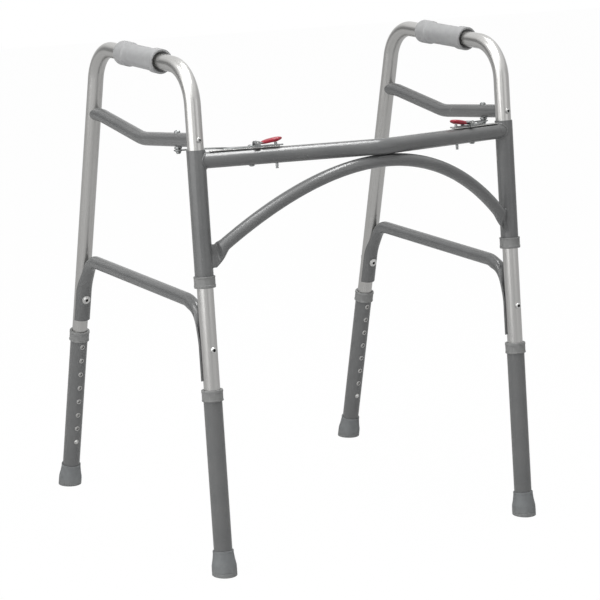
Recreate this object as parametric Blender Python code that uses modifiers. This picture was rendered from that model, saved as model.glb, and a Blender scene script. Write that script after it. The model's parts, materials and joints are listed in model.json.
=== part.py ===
# Folding walker with a bowed front crossbar and an arch below it, in metres.
# +Z is up, the floor is z = 0, X runs across the walker and +Y runs from the front to the user.
# Side names are those of the object seen from the front: left is -X, right is +X.

import bpy
import bmesh
from math import sin, cos, tan, asin, pi, radians, hypot, atan2
from mathutils import Vector, Matrix

# Overall sizes
AXIS_SPREAD = 0.5740           # between the axes of the two front legs
HANDLE_HEIGHT = 0.7753         # axis of the top run of a side frame
CORNER_SPAN = 0.3103           # front corner to rear corner of a side frame, along the top run
FRONT_LEAN = radians(7.0)      # front leg from the vertical, foot forward
REAR_LEAN = radians(10.35)     # rear leg from the vertical, foot back
HANDLE_BEND = 0.0635           # bend radius of the side frame
CROSSBAR_HEIGHT = 0.6361       # crossbar axis where it meets the sleeves
CROSSBAR_BOW = 0.0869          # how far forward the crossbar's middle lies, square to the front legs
CROSSBAR_BEND = 0.060
ARCH_SPRING_DROP = 0.1565      # arch springs from the sleeves this far below the crossbar
ARCH_CONTACT_LEAN = radians(13.7)   # direction from the crossbar's axis to the arch's, behind straight down

# Tubes
SIDE_TUBE_RADIUS = 0.0127
SIDE_TUBE_WALL = 0.0014
OUTER_TUBE_RADIUS = 0.0145     # sleeves and leg extensions, which slide or turn on the side tube
CROSSBAR_RADIUS = 0.0125
CROSSBAR_WALL = 0.0015
ARCH_RADIUS = 0.0100
ARCH_WALL = 0.0015
UPPER_BRACE_RADIUS = 0.0108
LOWER_BRACE_RADIUS = 0.0105
BRACE_WALL = 0.0012

# Clearances
GAP = 0.0003                   # between pieces that touch
TURNING_CLEARANCE = 0.0004     # side tube in a sleeve, collar or extension
HOLE_CLEARANCE = 0.0003        # round a screw, bolt, pin or button

# Sleeves
SLEEVE_TOP_ABOVE_CROSSBAR = 0.0167
SLEEVE_BUSH_BOTTOM = 0.4441    # height of the lower end of the sleeve's bush

# Braces
UPPER_BRACE_FRONT_RUN = 0.170
UPPER_BRACE_REAR_DROP = 0.0028  # how far its rear end lies below its front end
UPPER_BRACE_REAR_RUN = 0.034
UPPER_BRACE_BEND = 0.110
LOWER_BRACE_HEIGHT = 0.4147
LOWER_BRACE_FRONT_BEND = 0.045
LOWER_BRACE_REAR_BEND = 0.027
CHANNEL_FRONT_END = 0.3015     # height of the lower end of the front channel
CHANNEL_REAR_END = 0.3075
CHANNEL_HALF_ANGLE = radians(66)
CHANNEL_SEAM = 0.0004          # left between the two walls where the tube is pressed flat
CHANNEL_FORMED = 0.0555        # length of fully formed channel
CHANNEL_TAPER = 0.0180         # straight length above it, on the way to the round tube
BEND_BLENDS = (0.60, 0.26, 0.06)    # how far the tube is still pressed at the bend's first points
LOWER_BRACE_BEND_STEPS = 4

# Leg extensions, measured along the leg from the floor
EXTENSION_TOP = 0.2905
EXTENSION_START = 0.0100
COLLAR_RADIUS = 0.0170
COLLAR_LENGTH = 0.0178
COLLAR_LIP = 0.0035
COLLAR_CHAMFER = 0.0008
HOLE_PITCH = 0.0254
HOLE_COUNT = 8
TOP_HOLE = 0.2638
HOLE_RADIUS = 0.0030
SIDE_TUBE_END = 0.0600
TIP_TOP = 0.0388
TIP_TOP_RADIUS = 0.0164
TIP_FOOT_RADIUS = 0.0198
TIP_FLARE_HEIGHT = 0.0150
TIP_FLOOR = 0.0090

# Grip
GRIP_LENGTH = 0.1280
GRIP_RADIUS = 0.0174
GRIP_RIM_RADIUS = 0.0195
GRIP_REAR_RIM = 0.0240
GRIP_FRONT_RIM = 0.0180
GRIP_ROUNDING = 0.0022

# Screws, bolts and buttons
SCREW_RADIUS = 0.0026
SCREW_HEAD_RADIUS = 0.0040
SCREW_HEAD_HEIGHT = 0.0022
SCREW_REACH = 0.0110           # thread beyond the tube's wall
BOLT_RADIUS = 0.0030
BOLT_HEAD_RADIUS = 0.0048
BOLT_HEAD_HEIGHT = 0.0032
NUT_RADIUS = 0.0050
NUT_HEIGHT = 0.0045
WASHER_RADIUS = 0.0072
WASHER_THICKNESS = 0.0012
FRONT_BOLT_HEIGHT = 0.3495
REAR_BOLT_HEIGHT = 0.3460
BUTTON_RADIUS = 0.0027
BUTTON_PROUD = 0.0016
BUTTON_SPRING_THICKNESS = 0.0009
BUTTON_SPRING_HALF_WIDTH = 0.0034
BUTTON_SPRING_REACH = 0.0200
HEAD_CROWN = 0.6               # flat middle of a screw's head, as a share of its radius
HEAD_SHOULDER = 0.5            # height of a head's rim, as a share of the head's height
THREAD_SHOWS = 0.0012          # thread beyond a nut

# Corner lock, square to the front legs and measured from the hinge axis at crossbar height
FOLD_LIMIT = radians(88)
LINK_TURN = radians(12)        # how far the link turns on its rivet while the side frame folds fully
LINK_BOLT_RADIUS = 0.0555      # from the hinge axis to the bolt through the upper brace
RIVET_AT = 0.0856              # along the crossbar
PIN_AT = 0.1250
LEVER_PIVOT_AT = 0.0950
RIVET_RADIUS = 0.0025
RIVET_HEAD_RADIUS = 0.0046
RIVET_HEAD_HEIGHT = 0.0020
PIN_RADIUS = 0.0023
PIN_SHOWS_BELOW = 0.0080
BRACKET_START = 0.0210
BRACKET_END = 0.1310
BRACKET_THICKNESS = 0.0012
BRACKET_HALF_WIDTH = 0.0108
EAR_HALF_LENGTH = 0.0042
EAR_ABOVE_PIVOT = 0.0022
PIVOT_RISE = 0.0062            # lever's pivot above the bracket's upper face
PIVOT_RADIUS = 0.0015
PIVOT_PROUD = 0.0008           # how far the pivot shows outside the bracket's ears
LINK_THICKNESS = 0.0020
LINK_HALF_WIDTH = 0.0072
LINK_ARM_HALF_WIDTH = 0.0058
LINK_ARM_BEYOND_PIN = 0.0060
LINK_STEPS = 8
PIN_NOTCH_HALF_WIDTH = 0.0035
LEVER_THICKNESS = 0.0016
LEVER_EYE_RADIUS = 0.0031
LEVER_HALF_WIDTH = 0.0060
LEVER_REACH = 0.0350
LEVER_RISE = radians(10)
TIP_COVER_START = 0.0050
TIP_COVER_END = 0.0370
TIP_COVER_BELOW = 0.0026
TIP_COVER_ABOVE = 0.0038
TIP_COVER_HALF_WIDTH = 0.0085
LINK_NUT_HEIGHT = 0.0030
SPACER_RADIUS = 0.0060         # round the link bolt, between the link and the upper brace
SPACER_HEIGHT = 0.0040

# Facets
TUBE_SIDES = 12
OUTER_SIDES = 16
SMALL_SIDES = 8
EXTENSION_HOLE_SIDES = 8
BEND_STEPS = 5
ARCH_STEPS = 12

# Places worked out from the sizes above
HALF_SPREAD = AXIS_SPREAD / 2
BRACKET_TOP = CROSSBAR_RADIUS + GAP + BRACKET_THICKNESS   # heights of the lock's layers above the
LINK_LOW = BRACKET_TOP + GAP                              # crossbar's axis, square to the front legs
LINK_HIGH = LINK_LOW + LINK_THICKNESS
UPPER_BRACE_RISE = LINK_HIGH + GAP + SPACER_HEIGHT + GAP + UPPER_BRACE_RADIUS
UPPER_BRACE_FRONT_HEIGHT = CROSSBAR_HEIGHT + UPPER_BRACE_RISE * cos(FRONT_LEAN)
UPPER_BRACE_REAR_HEIGHT = UPPER_BRACE_FRONT_HEIGHT - UPPER_BRACE_REAR_DROP
BORE_RADIUS = SIDE_TUBE_RADIUS + TURNING_CLEARANCE
LIP_RADIUS = BORE_RADIUS + 0.0001
FRONT_UP = Vector((0, sin(FRONT_LEAN), cos(FRONT_LEAN)))
REAR_UP = Vector((0, -sin(REAR_LEAN), cos(REAR_LEAN)))
FRONT_OUT = Vector((0, -cos(FRONT_LEAN), sin(FRONT_LEAN)))
REAR_OUT = Vector((0, cos(REAR_LEAN), sin(REAR_LEAN)))
ACROSS = Vector((1, 0, 0))


def front_leg(height):
    # point on the front leg's axis at a height above the floor, in the side frame's plane
    return Vector((0, tan(FRONT_LEAN) * (height - CROSSBAR_HEIGHT), height - CROSSBAR_HEIGHT))


FRONT_CORNER = front_leg(HANDLE_HEIGHT)
REAR_CORNER = FRONT_CORNER + Vector((0, CORNER_SPAN, 0))


def rear_leg(height):
    # point on the rear leg's axis at a height above the floor, in the side frame's plane
    return REAR_CORNER + Vector((0, tan(REAR_LEAN) * (HANDLE_HEIGHT - height), height - HANDLE_HEIGHT))


FRONT_FOOT = front_leg(0)
REAR_FOOT = rear_leg(0)
CROSSBAR_APEX = CROSSBAR_BOW - CROSSBAR_BEND * (hypot(HALF_SPREAD, CROSSBAR_BOW) / HALF_SPREAD - 1)
FRONT_REACH = max(CROSSBAR_APEX * cos(FRONT_LEAN) + CROSSBAR_RADIUS,
                  TIP_FOOT_RADIUS / cos(FRONT_LEAN) - FRONT_FOOT.y)
REAR_REACH = TIP_FOOT_RADIUS / cos(REAR_LEAN) + REAR_FOOT.y
CENTRE_SHIFT = (FRONT_REACH - REAR_REACH) / 2


def clear_scene():
    for old in list(bpy.data.objects):
        bpy.data.objects.remove(old, do_unlink=True)


def make_collection(name):
    collection = bpy.data.collections.new(name)
    bpy.context.scene.collection.children.link(collection)
    return collection


def make_material(name, colour, roughness, metallic=0.0):
    material = bpy.data.materials.new(name)
    material.use_nodes = True
    shader = material.node_tree.nodes["Principled BSDF"]
    shader.inputs["Base Color"].default_value = (*colour, 1)
    shader.inputs["Roughness"].default_value = roughness
    shader.inputs["Metallic"].default_value = metallic
    material.diffuse_color = (*colour, 1)
    return material


clear_scene()
WALKER = make_collection("walker")
CUTTERS = make_collection("cutters")

ALUMINIUM = make_material("satin aluminium", (0.74, 0.74, 0.73), 0.32, 1.0)
GREY_PAINT = make_material("grey hammered paint", (0.16, 0.165, 0.17), 0.38)
GRIP_FOAM = make_material("light grey grip", (0.42, 0.43, 0.44), 0.75)
GREY_PLASTIC = make_material("grey plastic", (0.24, 0.245, 0.25), 0.5)
GREY_RUBBER = make_material("grey rubber", (0.2, 0.205, 0.21), 0.8)
BRIGHT_STEEL = make_material("plated steel", (0.66, 0.66, 0.65), 0.25, 1.0)
RED_VINYL = make_material("red dipped vinyl", (0.45, 0.03, 0.05), 0.4)


def make_empty(name, parent=None, location=(0, 0, 0), rotation=(0, 0, 0)):
    empty = bpy.data.objects.new(name, None)
    empty.empty_display_size = 0.03
    empty.parent = parent
    empty.location = location
    empty.rotation_euler = rotation
    WALKER.objects.link(empty)
    return empty


def add_object(name, mesh, parent, material, place=None, collection=None):
    obj = bpy.data.objects.new(name, mesh)
    obj.parent = parent
    if place is not None:
        obj.matrix_local = place
    if material:
        mesh.materials.append(material)
        mesh.shade_smooth()
        mesh.set_sharp_from_angle(angle=radians(35))
    (collection or WALKER).objects.link(obj)
    return obj


def turn_towards(direction):
    # rotation that takes +Z to a direction
    return Vector(direction).to_track_quat("Z", "Y").to_matrix().to_4x4()


def place_along(start, direction):
    return Matrix.Translation(start) @ turn_towards(direction)


def cutter_of_rods(name, rods, parent, sides=SMALL_SIDES):
    # one hidden cutter that holds several rods, each a start, an end and a radius
    bm = bmesh.new()
    for start, end, radius in rods:
        axis = Vector(end) - Vector(start)
        middle = (Vector(start) + Vector(end)) / 2
        bmesh.ops.create_cone(bm, cap_ends=True, segments=sides, radius1=radius, radius2=radius,
                              depth=axis.length, matrix=place_along(middle, axis))
    return finish_cutter(name, bm, parent)


def cutter_of_boxes(name, boxes, parent):
    # one hidden cutter that holds several boxes, each a low and a high corner
    bm = bmesh.new()
    for low, high in boxes:
        low, high = Vector(low), Vector(high)
        size = Matrix.Diagonal((*(high - low), 1))
        bmesh.ops.create_cube(bm, size=1, matrix=Matrix.Translation((low + high) / 2) @ size)
    return finish_cutter(name, bm, parent)


def finish_cutter(name, bm, parent):
    bmesh.ops.recalc_face_normals(bm, faces=bm.faces)
    mesh = bpy.data.meshes.new(name)
    bm.to_mesh(mesh)
    bm.free()
    cutter = add_object(name, mesh, parent, None, collection=CUTTERS)
    cutter.display_type = "WIRE"
    cutter.hide_render = True
    return cutter


def combine(obj, other, operation="DIFFERENCE"):
    boolean = obj.modifiers.new(other.name, "BOOLEAN")
    boolean.operation = operation
    boolean.solver = "EXACT"
    boolean.object = other


def rounded_path(corners, radii, steps=BEND_STEPS):
    # a path through the corners, with each inner corner rounded to its radius
    path = [corners[0]]
    for index, radius in enumerate(radii, 1):
        before, corner, after = corners[index - 1:index + 2]
        into = (corner - before).normalized()
        out = (after - corner).normalized()
        turn = into.angle(out)
        inward = (out - into).normalized()
        start = corner - into * radius * tan(turn / 2)
        centre = corner + inward * radius / cos(turn / 2)
        for step in range(steps + 1):
            swing = Matrix.Rotation(turn * step / steps, 3, into.cross(out))
            path.append(centre + swing @ (start - centre))
    path.append(corners[-1])
    return path


def curve_mesh(curve, name):
    holder = bpy.data.objects.new(name, curve)
    bpy.context.scene.collection.objects.link(holder)
    depsgraph = bpy.context.evaluated_depsgraph_get()
    mesh = bpy.data.meshes.new_from_object(holder.evaluated_get(depsgraph))
    mesh.name = name
    bpy.data.objects.remove(holder, do_unlink=True)
    bm = bmesh.new()
    bm.from_mesh(mesh)
    bmesh.ops.remove_doubles(bm, verts=bm.verts, dist=1e-6)
    bmesh.ops.recalc_face_normals(bm, faces=bm.faces)
    bm.to_mesh(mesh)
    bm.free()
    mesh.materials.clear()
    return mesh


def path_curve(name, path, radius, sides=TUBE_SIDES):
    curve = bpy.data.curves.new(name + "_path", "CURVE")
    curve.dimensions = "3D"
    curve.bevel_depth = radius
    curve.bevel_resolution = (sides - 4) // 2
    spline = curve.splines.new("POLY")
    spline.points.add(len(path) - 1)
    for point, place in zip(spline.points, path):
        point.co = (*place, 1)
    return curve


def cutter_of_path(name, path, radius, parent):
    # a hidden solid rod that follows a path
    curve = path_curve(name, path, radius)
    curve.use_fill_caps = True
    cutter = add_object(name, curve_mesh(curve, name), parent, None, collection=CUTTERS)
    cutter.display_type = "WIRE"
    cutter.hide_render = True
    return cutter


def tube(name, path, radius, wall, parent, material, sides=TUBE_SIDES):
    # a hollow tube, open at both ends
    curve = path_curve(name, path, radius, sides)
    obj = add_object(name, curve_mesh(curve, name), parent, material)
    shell = obj.modifiers.new("wall", "SOLIDIFY")
    shell.thickness = wall
    shell.offset = -1
    return obj


def turned(name, profile, parent, material, place=None, sides=OUTER_SIDES, ring=False):
    # a profile of radii and heights, turned about Z
    mesh = bpy.data.meshes.new(name)
    edges = [(index, index + 1) for index in range(len(profile) - 1)]
    if ring:
        edges.append((len(profile) - 1, 0))
    mesh.from_pydata([(radius, 0, height) for radius, height in profile], edges, [])
    obj = add_object(name, mesh, parent, material, place)
    screw = obj.modifiers.new("turn", "SCREW")
    screw.axis = "Z"
    screw.angle = 2 * pi
    screw.steps = screw.render_steps = sides
    screw.use_merge_vertices = True
    screw.merge_threshold = 1e-6
    screw.use_smooth_shade = True
    return obj


def plate(name, outlines, thickness, parent, material, place=None):
    # a flat plate: the first outline is its edge, and any others are holes
    curve = bpy.data.curves.new(name + "_outline", "CURVE")
    curve.dimensions = "2D"
    curve.fill_mode = "BOTH"
    curve.extrude = thickness / 2
    for outline in outlines:
        spline = curve.splines.new("POLY")
        spline.points.add(len(outline) - 1)
        for point, (x, y) in zip(spline.points, outline):
            point.co = (x, y, 0, 1)
        spline.use_cyclic_u = True
    return add_object(name, curve_mesh(curve, name), parent, material, place)


def arc(centre, radius, start, end, steps):
    # points round an arc, both ends included
    points = []
    for step in range(steps + 1):
        angle = start + (end - start) * step / steps
        points.append((centre[0] + radius * cos(angle), centre[1] + radius * sin(angle)))
    return points


def circle(centre, radius, sides=SMALL_SIDES):
    return arc(centre, radius, 0, 2 * pi, sides)[:-1]


def offset_outline(spine, half_widths, cap_steps=5):
    # the outline of a strip that follows a spine, with a round end at each end
    sides = ([], [])
    for index, point in enumerate(spine):
        before = spine[max(index - 1, 0)]
        after = spine[min(index + 1, len(spine) - 1)]
        along = (after - before).normalized()
        square = Vector((-along.y, along.x)) * half_widths[index]
        sides[0].append(tuple(point + square))
        sides[1].append(tuple(point - square))
    first = atan2(*reversed((spine[0] - spine[1]).normalized()))
    last = atan2(*reversed((spine[-1] - spine[-2]).normalized()))
    start_cap = arc(spine[0], half_widths[0], first - pi / 2, first + pi / 2, cap_steps)[1:-1]
    end_cap = arc(spine[-1], half_widths[-1], last + pi / 2, last - pi / 2, cap_steps)[1:-1]
    return sides[0] + end_cap + sides[1][::-1] + start_cap[::-1]


def bolt_profile(head_radius, head_height, washer, shank_radius, grip, nut_radius, nut_height):
    # head above z = 0, shank down through the grip, nut below it
    profile = [(0, head_height), (head_radius * HEAD_CROWN, head_height),
               (head_radius, head_height * HEAD_SHOULDER), (head_radius, washer[1])]
    if washer[1]:
        profile += [(washer[0], washer[1])]
        profile += [(washer[0], 0)]
    else:
        profile[-1] = (head_radius, 0)
    profile += [(shank_radius, 0), (shank_radius, -grip)]
    if nut_height:
        profile += [(nut_radius, -grip), (nut_radius, -grip - nut_height)]
        thread_end = -grip - nut_height - THREAD_SHOWS
        profile += [(shank_radius, -grip - nut_height), (shank_radius, thread_end), (0, thread_end)]
    else:
        profile += [(0, -grip)]
    return profile


def crossbar_path():
    ends = [Vector((side * HALF_SPREAD, 0, 0)) for side in (-1, 1)]
    return rounded_path([ends[0], Vector((0, -CROSSBAR_BOW, 0)), ends[1]], [CROSSBAR_BEND], 3)


def make_crossbar(front_plane):
    path = crossbar_path()
    ends = [path[0], path[-1]]
    apex = Vector((0, -CROSSBAR_BOW, 0))
    bar = tube("crossbar", path, CROSSBAR_RADIUS, CROSSBAR_WALL, front_plane, GREY_PAINT)
    combine(bar, sleeve_cope("crossbar_cope", front_plane))
    rods = []
    reach = CROSSBAR_RADIUS * 2
    for end in ends:
        along = (apex - end).normalized()
        for distance, radius in ((RIVET_AT, RIVET_RADIUS), (PIN_AT, PIN_RADIUS)):
            middle = end + along * distance
            up = Vector((0, 0, reach))
            rods.append((middle - up, middle + up, radius + HOLE_CLEARANCE))
    combine(bar, cutter_of_rods("crossbar_lock_holes", rods, front_plane))


def sleeve_cope(name, front_plane):
    rods = []
    for side in (-1, 1):
        foot = Vector((side * HALF_SPREAD, 0, -ARCH_SPRING_DROP * 1.5))
        top = Vector((side * HALF_SPREAD, 0, ARCH_SPRING_DROP * 0.5))
        rods.append((foot, top, OUTER_TUBE_RADIUS + GAP))
    return cutter_of_rods(name, rods, front_plane, OUTER_SIDES)


def make_arch(front_plane):
    spacing = CROSSBAR_RADIUS + ARCH_RADIUS + GAP
    crown = Vector((0, -CROSSBAR_APEX + spacing * sin(ARCH_CONTACT_LEAN), -spacing * cos(ARCH_CONTACT_LEAN)))
    spring = Vector((0, 0, -ARCH_SPRING_DROP))
    rise = (crown - spring).length
    upward = (crown - spring).normalized()
    path = []
    for step in range(ARCH_STEPS + 1):
        share = 2 * step / ARCH_STEPS - 1
        path.append(spring + ACROSS * HALF_SPREAD * share + upward * rise * (1 - share ** 2))
    arch = tube("arch_brace", path, ARCH_RADIUS, ARCH_WALL, front_plane, GREY_PAINT)
    combine(arch, sleeve_cope("arch_cope", front_plane))
    combine(arch, cutter_of_path("arch_saddle", crossbar_path(), CROSSBAR_RADIUS + GAP, front_plane))


def make_sleeve(side, side_name, front_plane):
    # the sleeve turns on the front leg and carries the crossbar and the arch
    bush_bottom = (SLEEVE_BUSH_BOTTOM - CROSSBAR_HEIGHT) / cos(FRONT_LEAN)
    bottom = bush_bottom + COLLAR_LIP + GAP
    top = SLEEVE_TOP_ABOVE_CROSSBAR
    place = Matrix.Translation((side * HALF_SPREAD, 0, 0))
    profile = [(OUTER_TUBE_RADIUS, top), (OUTER_TUBE_RADIUS, bottom), (BORE_RADIUS, bottom), (BORE_RADIUS, top)]
    turned(side_name + "_sleeve", profile, front_plane, GREY_PAINT, place, ring=True)
    flip = place @ Matrix.Translation((0, 0, bush_bottom)) @ Matrix.Rotation(pi, 4, "X")
    make_collar(side_name + "_sleeve_bush", front_plane, flip)


def make_collar(name, parent, place):
    # a plastic collar: its lip runs on the inner tube, and the outer tube ends inside it
    socket = OUTER_TUBE_RADIUS + GAP
    profile = [(LIP_RADIUS, 0), (COLLAR_RADIUS - COLLAR_CHAMFER, 0), (COLLAR_RADIUS, -COLLAR_CHAMFER),
               (COLLAR_RADIUS, -COLLAR_LENGTH), (socket, -COLLAR_LENGTH), (socket, -COLLAR_LIP),
               (LIP_RADIUS, -COLLAR_LIP)]
    turned(name, profile, parent, GREY_PLASTIC, place, ring=True)


def make_side_tube(side_name, fold):
    end = SIDE_TUBE_END
    corners = [FRONT_FOOT + FRONT_UP * end, FRONT_CORNER, REAR_CORNER, REAR_FOOT + REAR_UP * end]
    path = rounded_path(corners, [HANDLE_BEND, HANDLE_BEND])
    frame = tube(side_name + "_side_tube", path, SIDE_TUBE_RADIUS, SIDE_TUBE_WALL, fold, ALUMINIUM)
    through = SIDE_TUBE_RADIUS * 1.5
    button = TOP_HOLE - HOLE_PITCH * (HOLE_COUNT - 1)
    rods = []
    for point, out, radius in (
            (front_leg(UPPER_BRACE_FRONT_HEIGHT), FRONT_OUT, SCREW_RADIUS),
            (rear_leg(UPPER_BRACE_REAR_HEIGHT), REAR_OUT, SCREW_RADIUS),
            (front_leg(FRONT_BOLT_HEIGHT), FRONT_OUT, BOLT_RADIUS),
            (rear_leg(REAR_BOLT_HEIGHT), REAR_OUT, BOLT_RADIUS)):
        rods.append((point - out * through, point + out * through, radius + HOLE_CLEARANCE))
    for foot, up, out in ((FRONT_FOOT, FRONT_UP, FRONT_OUT), (REAR_FOOT, REAR_UP, REAR_OUT)):
        start = foot + up * button
        rods.append((start, start - out * through, BUTTON_RADIUS + HOLE_CLEARANCE))
    combine(frame, cutter_of_rods(side_name + "_side_tube_holes", rods, fold))


def make_grip(side_name, fold):
    half = GRIP_LENGTH / 2
    bore = SIDE_TUBE_RADIUS + GAP
    step = GRIP_RIM_RADIUS - GRIP_RADIUS
    profile = [(bore, half), (GRIP_RIM_RADIUS - GRIP_ROUNDING, half), (GRIP_RIM_RADIUS, half - GRIP_ROUNDING),
               (GRIP_RIM_RADIUS, half - GRIP_REAR_RIM), (GRIP_RADIUS, half - GRIP_REAR_RIM - step),
               (GRIP_RADIUS, GRIP_FRONT_RIM + step - half), (GRIP_RIM_RADIUS, GRIP_FRONT_RIM - half),
               (GRIP_RIM_RADIUS, GRIP_ROUNDING - half), (GRIP_RIM_RADIUS - GRIP_ROUNDING, -half), (bore, -half)]
    middle = (FRONT_CORNER + REAR_CORNER) / 2
    place = Matrix.Translation(middle) @ Matrix.Rotation(-pi / 2, 4, "X")
    turned(side_name + "_grip", profile, fold, GRIP_FOAM, place, ring=True)


def make_upper_brace(side_name, fold):
    # a shallow dip: each end meets its upright nearly square, with a screw through the upright
    front = front_leg(UPPER_BRACE_FRONT_HEIGHT)
    rear = rear_leg(UPPER_BRACE_REAR_HEIGHT)
    dip = front - FRONT_OUT * UPPER_BRACE_FRONT_RUN
    knee = rear - Vector((0, UPPER_BRACE_REAR_RUN, 0))
    path = rounded_path([front, dip, knee, rear], [UPPER_BRACE_BEND, UPPER_BRACE_BEND * 0.5], 3)
    brace = tube(side_name + "_upper_brace", path, UPPER_BRACE_RADIUS, BRACE_WALL, fold, GREY_PAINT)
    reach = UPPER_BRACE_RADIUS * 2.5
    copes = [(front - FRONT_UP * reach, front + FRONT_UP * reach, SIDE_TUBE_RADIUS + GAP),
             (rear - REAR_UP * reach, rear + REAR_UP * reach, SIDE_TUBE_RADIUS + GAP)]
    combine(brace, cutter_of_rods(side_name + "_upper_brace_copes", copes, fold, OUTER_SIDES))
    bolt = link_bolt_place()
    hole = [(bolt - FRONT_UP * reach, bolt + FRONT_UP * reach, BOLT_RADIUS + HOLE_CLEARANCE)]
    combine(brace, cutter_of_rods(side_name + "_upper_brace_bolt_hole", hole, fold))
    profile = bolt_profile(SCREW_HEAD_RADIUS, SCREW_HEAD_HEIGHT, (0, 0), SCREW_RADIUS,
                           2 * SIDE_TUBE_RADIUS + GAP + SCREW_REACH, 0, 0)
    for end, point, out in (("front", front, FRONT_OUT), ("rear", rear, REAR_OUT)):
        place = place_along(point + out * (SIDE_TUBE_RADIUS + GAP), out)
        turned(f"{side_name}_upper_{end}_screw", profile, fold, BRIGHT_STEEL, place, SMALL_SIDES)


def channel_section(spread, wall_in, blend, away, centre, leg_point):
    # one loop of the lower brace: a round tube blended with a channel pressed round the leg
    points = []
    inner = SIDE_TUBE_RADIUS + TURNING_CLEARANCE + wall_in
    outer = SIDE_TUBE_RADIUS + TURNING_CLEARANCE + 2 * BRACE_WALL + CHANNEL_SEAM - wall_in
    edge = CHANNEL_HALF_ANGLE - wall_in / inner
    for step in range(TUBE_SIDES):
        half = TUBE_SIDES // 2
        swing = 2 * pi * (step + 0.5) / TUBE_SIDES - pi / 2
        round_point = centre + (away * cos(swing) + ACROSS * sin(swing)) * (spread - wall_in)
        share = (step % half) / (half - 1) * 2 - 1
        angle = edge * share if step < half else -edge * share
        radius = outer if step < half else inner
        pressed = leg_point + (away * cos(angle) + ACROSS * sin(angle)) * radius
        points.append(round_point.lerp(pressed, blend))
    return points


def make_lower_brace(side_name, fold):
    # each end bends down its leg and is pressed into a channel that cups it
    stand_off = SIDE_TUBE_RADIUS + TURNING_CLEARANCE + LOWER_BRACE_RADIUS
    level = LOWER_BRACE_HEIGHT
    front_shift = -FRONT_OUT * stand_off
    rear_shift = -REAR_OUT * stand_off
    front_low = front_leg(CHANNEL_FRONT_END) + front_shift
    rear_low = rear_leg(CHANNEL_REAR_END) + rear_shift
    front_top = level_point(front_low, FRONT_UP, level)
    rear_top = level_point(rear_low, REAR_UP, level)
    bend = rounded_path([rear_low, rear_top, front_top, front_low],
                        [LOWER_BRACE_REAR_BEND, LOWER_BRACE_FRONT_BEND], LOWER_BRACE_BEND_STEPS)[1:-1]
    rear_run = [(rear_low + REAR_UP * rise, blend) for rise, blend in channel_runs()]
    front_run = [(front_low + FRONT_UP * rise, blend) for rise, blend in channel_runs()]
    pressed = len(BEND_BLENDS)
    rear_run += list(zip(bend[:pressed], BEND_BLENDS))
    front_run += list(zip(bend[::-1][:pressed], BEND_BLENDS))
    line = [(point, blend, rear_low - rear_shift, REAR_UP) for point, blend in rear_run]
    line += [(point, 0.0, point, REAR_UP) for point in bend[pressed:-pressed]]
    line += [(point, blend, front_low - front_shift, FRONT_UP) for point, blend in reversed(front_run)]
    outside, inside = [], []
    for index, (centre, blend, leg_start, leg_up) in enumerate(line):
        before = line[max(index - 1, 0)][0]
        after = line[min(index + 1, len(line) - 1)][0]
        away = ACROSS.cross((after - before).normalized())
        leg_point = meet_leg(centre, away, leg_start, leg_up) if blend else centre
        outside.append(channel_section(LOWER_BRACE_RADIUS, 0, blend, away, centre, leg_point))
        inside.append(channel_section(LOWER_BRACE_RADIUS, BRACE_WALL, blend, away, centre, leg_point))
    brace = add_object(side_name + "_lower_brace", loft(side_name + "_lower_brace", outside, inside),
                       fold, GREY_PAINT)
    rods = []
    for point, out in ((front_leg(FRONT_BOLT_HEIGHT), FRONT_OUT), (rear_leg(REAR_BOLT_HEIGHT), REAR_OUT)):
        rods.append((point, point - out * stand_off, BOLT_RADIUS + HOLE_CLEARANCE))
    combine(brace, cutter_of_rods(side_name + "_lower_brace_holes", rods, fold))


def channel_runs():
    # heights above the channel's end, each with how far the round tube is pressed there
    return ((0.0, 1.0), (CHANNEL_FORMED, 1.0), (CHANNEL_FORMED + CHANNEL_TAPER / 2, 0.86))


def meet_leg(centre, away, leg_start, leg_up):
    # where the line through a section's middle reaches the leg's axis
    offset = leg_start - centre
    reach = (offset.y * leg_up.z - offset.z * leg_up.y) / (away.y * leg_up.z - away.z * leg_up.y)
    return centre + away * reach


def level_point(start, direction, height):
    # where a line from start reaches a height above the floor
    return start + direction * ((height - CROSSBAR_HEIGHT - start.z) / direction.z)


def loft(name, outside, inside):
    # a wall between two skins that run through the same number of loops
    bm = bmesh.new()
    skins = [[[bm.verts.new(point) for point in loop] for loop in skin] for skin in (outside, inside)]
    count = len(outside[0])
    for skin in skins:
        for lower, upper in zip(skin, skin[1:]):
            for index in range(count):
                following = (index + 1) % count
                bm.faces.new((lower[index], lower[following], upper[following], upper[index]))
    for end in (0, -1):
        for index in range(count):
            following = (index + 1) % count
            bm.faces.new((skins[0][end][index], skins[0][end][following],
                          skins[1][end][following], skins[1][end][index]))
    bmesh.ops.recalc_face_normals(bm, faces=bm.faces)
    mesh = bpy.data.meshes.new(name)
    bm.to_mesh(mesh)
    bm.free()
    return mesh


def make_lower_bolts(side_name, fold):
    channel = SIDE_TUBE_RADIUS + TURNING_CLEARANCE + 2 * BRACE_WALL + CHANNEL_SEAM + GAP
    tube_face = SIDE_TUBE_RADIUS + GAP
    grip = channel + tube_face
    front = bolt_profile(BOLT_HEAD_RADIUS, BOLT_HEAD_HEIGHT, (0, 0), BOLT_RADIUS, grip, NUT_RADIUS, NUT_HEIGHT)
    rear = bolt_profile(BOLT_HEAD_RADIUS, BOLT_HEAD_HEIGHT, (WASHER_RADIUS, WASHER_THICKNESS),
                        BOLT_RADIUS, grip, NUT_RADIUS, NUT_HEIGHT)
    place = place_along(front_leg(FRONT_BOLT_HEIGHT) + FRONT_OUT * tube_face, FRONT_OUT)
    turned(side_name + "_lower_front_bolt", front, fold, BRIGHT_STEEL, place, SMALL_SIDES)
    place = place_along(rear_leg(REAR_BOLT_HEIGHT) - REAR_OUT * channel, -REAR_OUT)
    turned(side_name + "_lower_rear_bolt", rear, fold, BRIGHT_STEEL, place, SMALL_SIDES)


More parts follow.
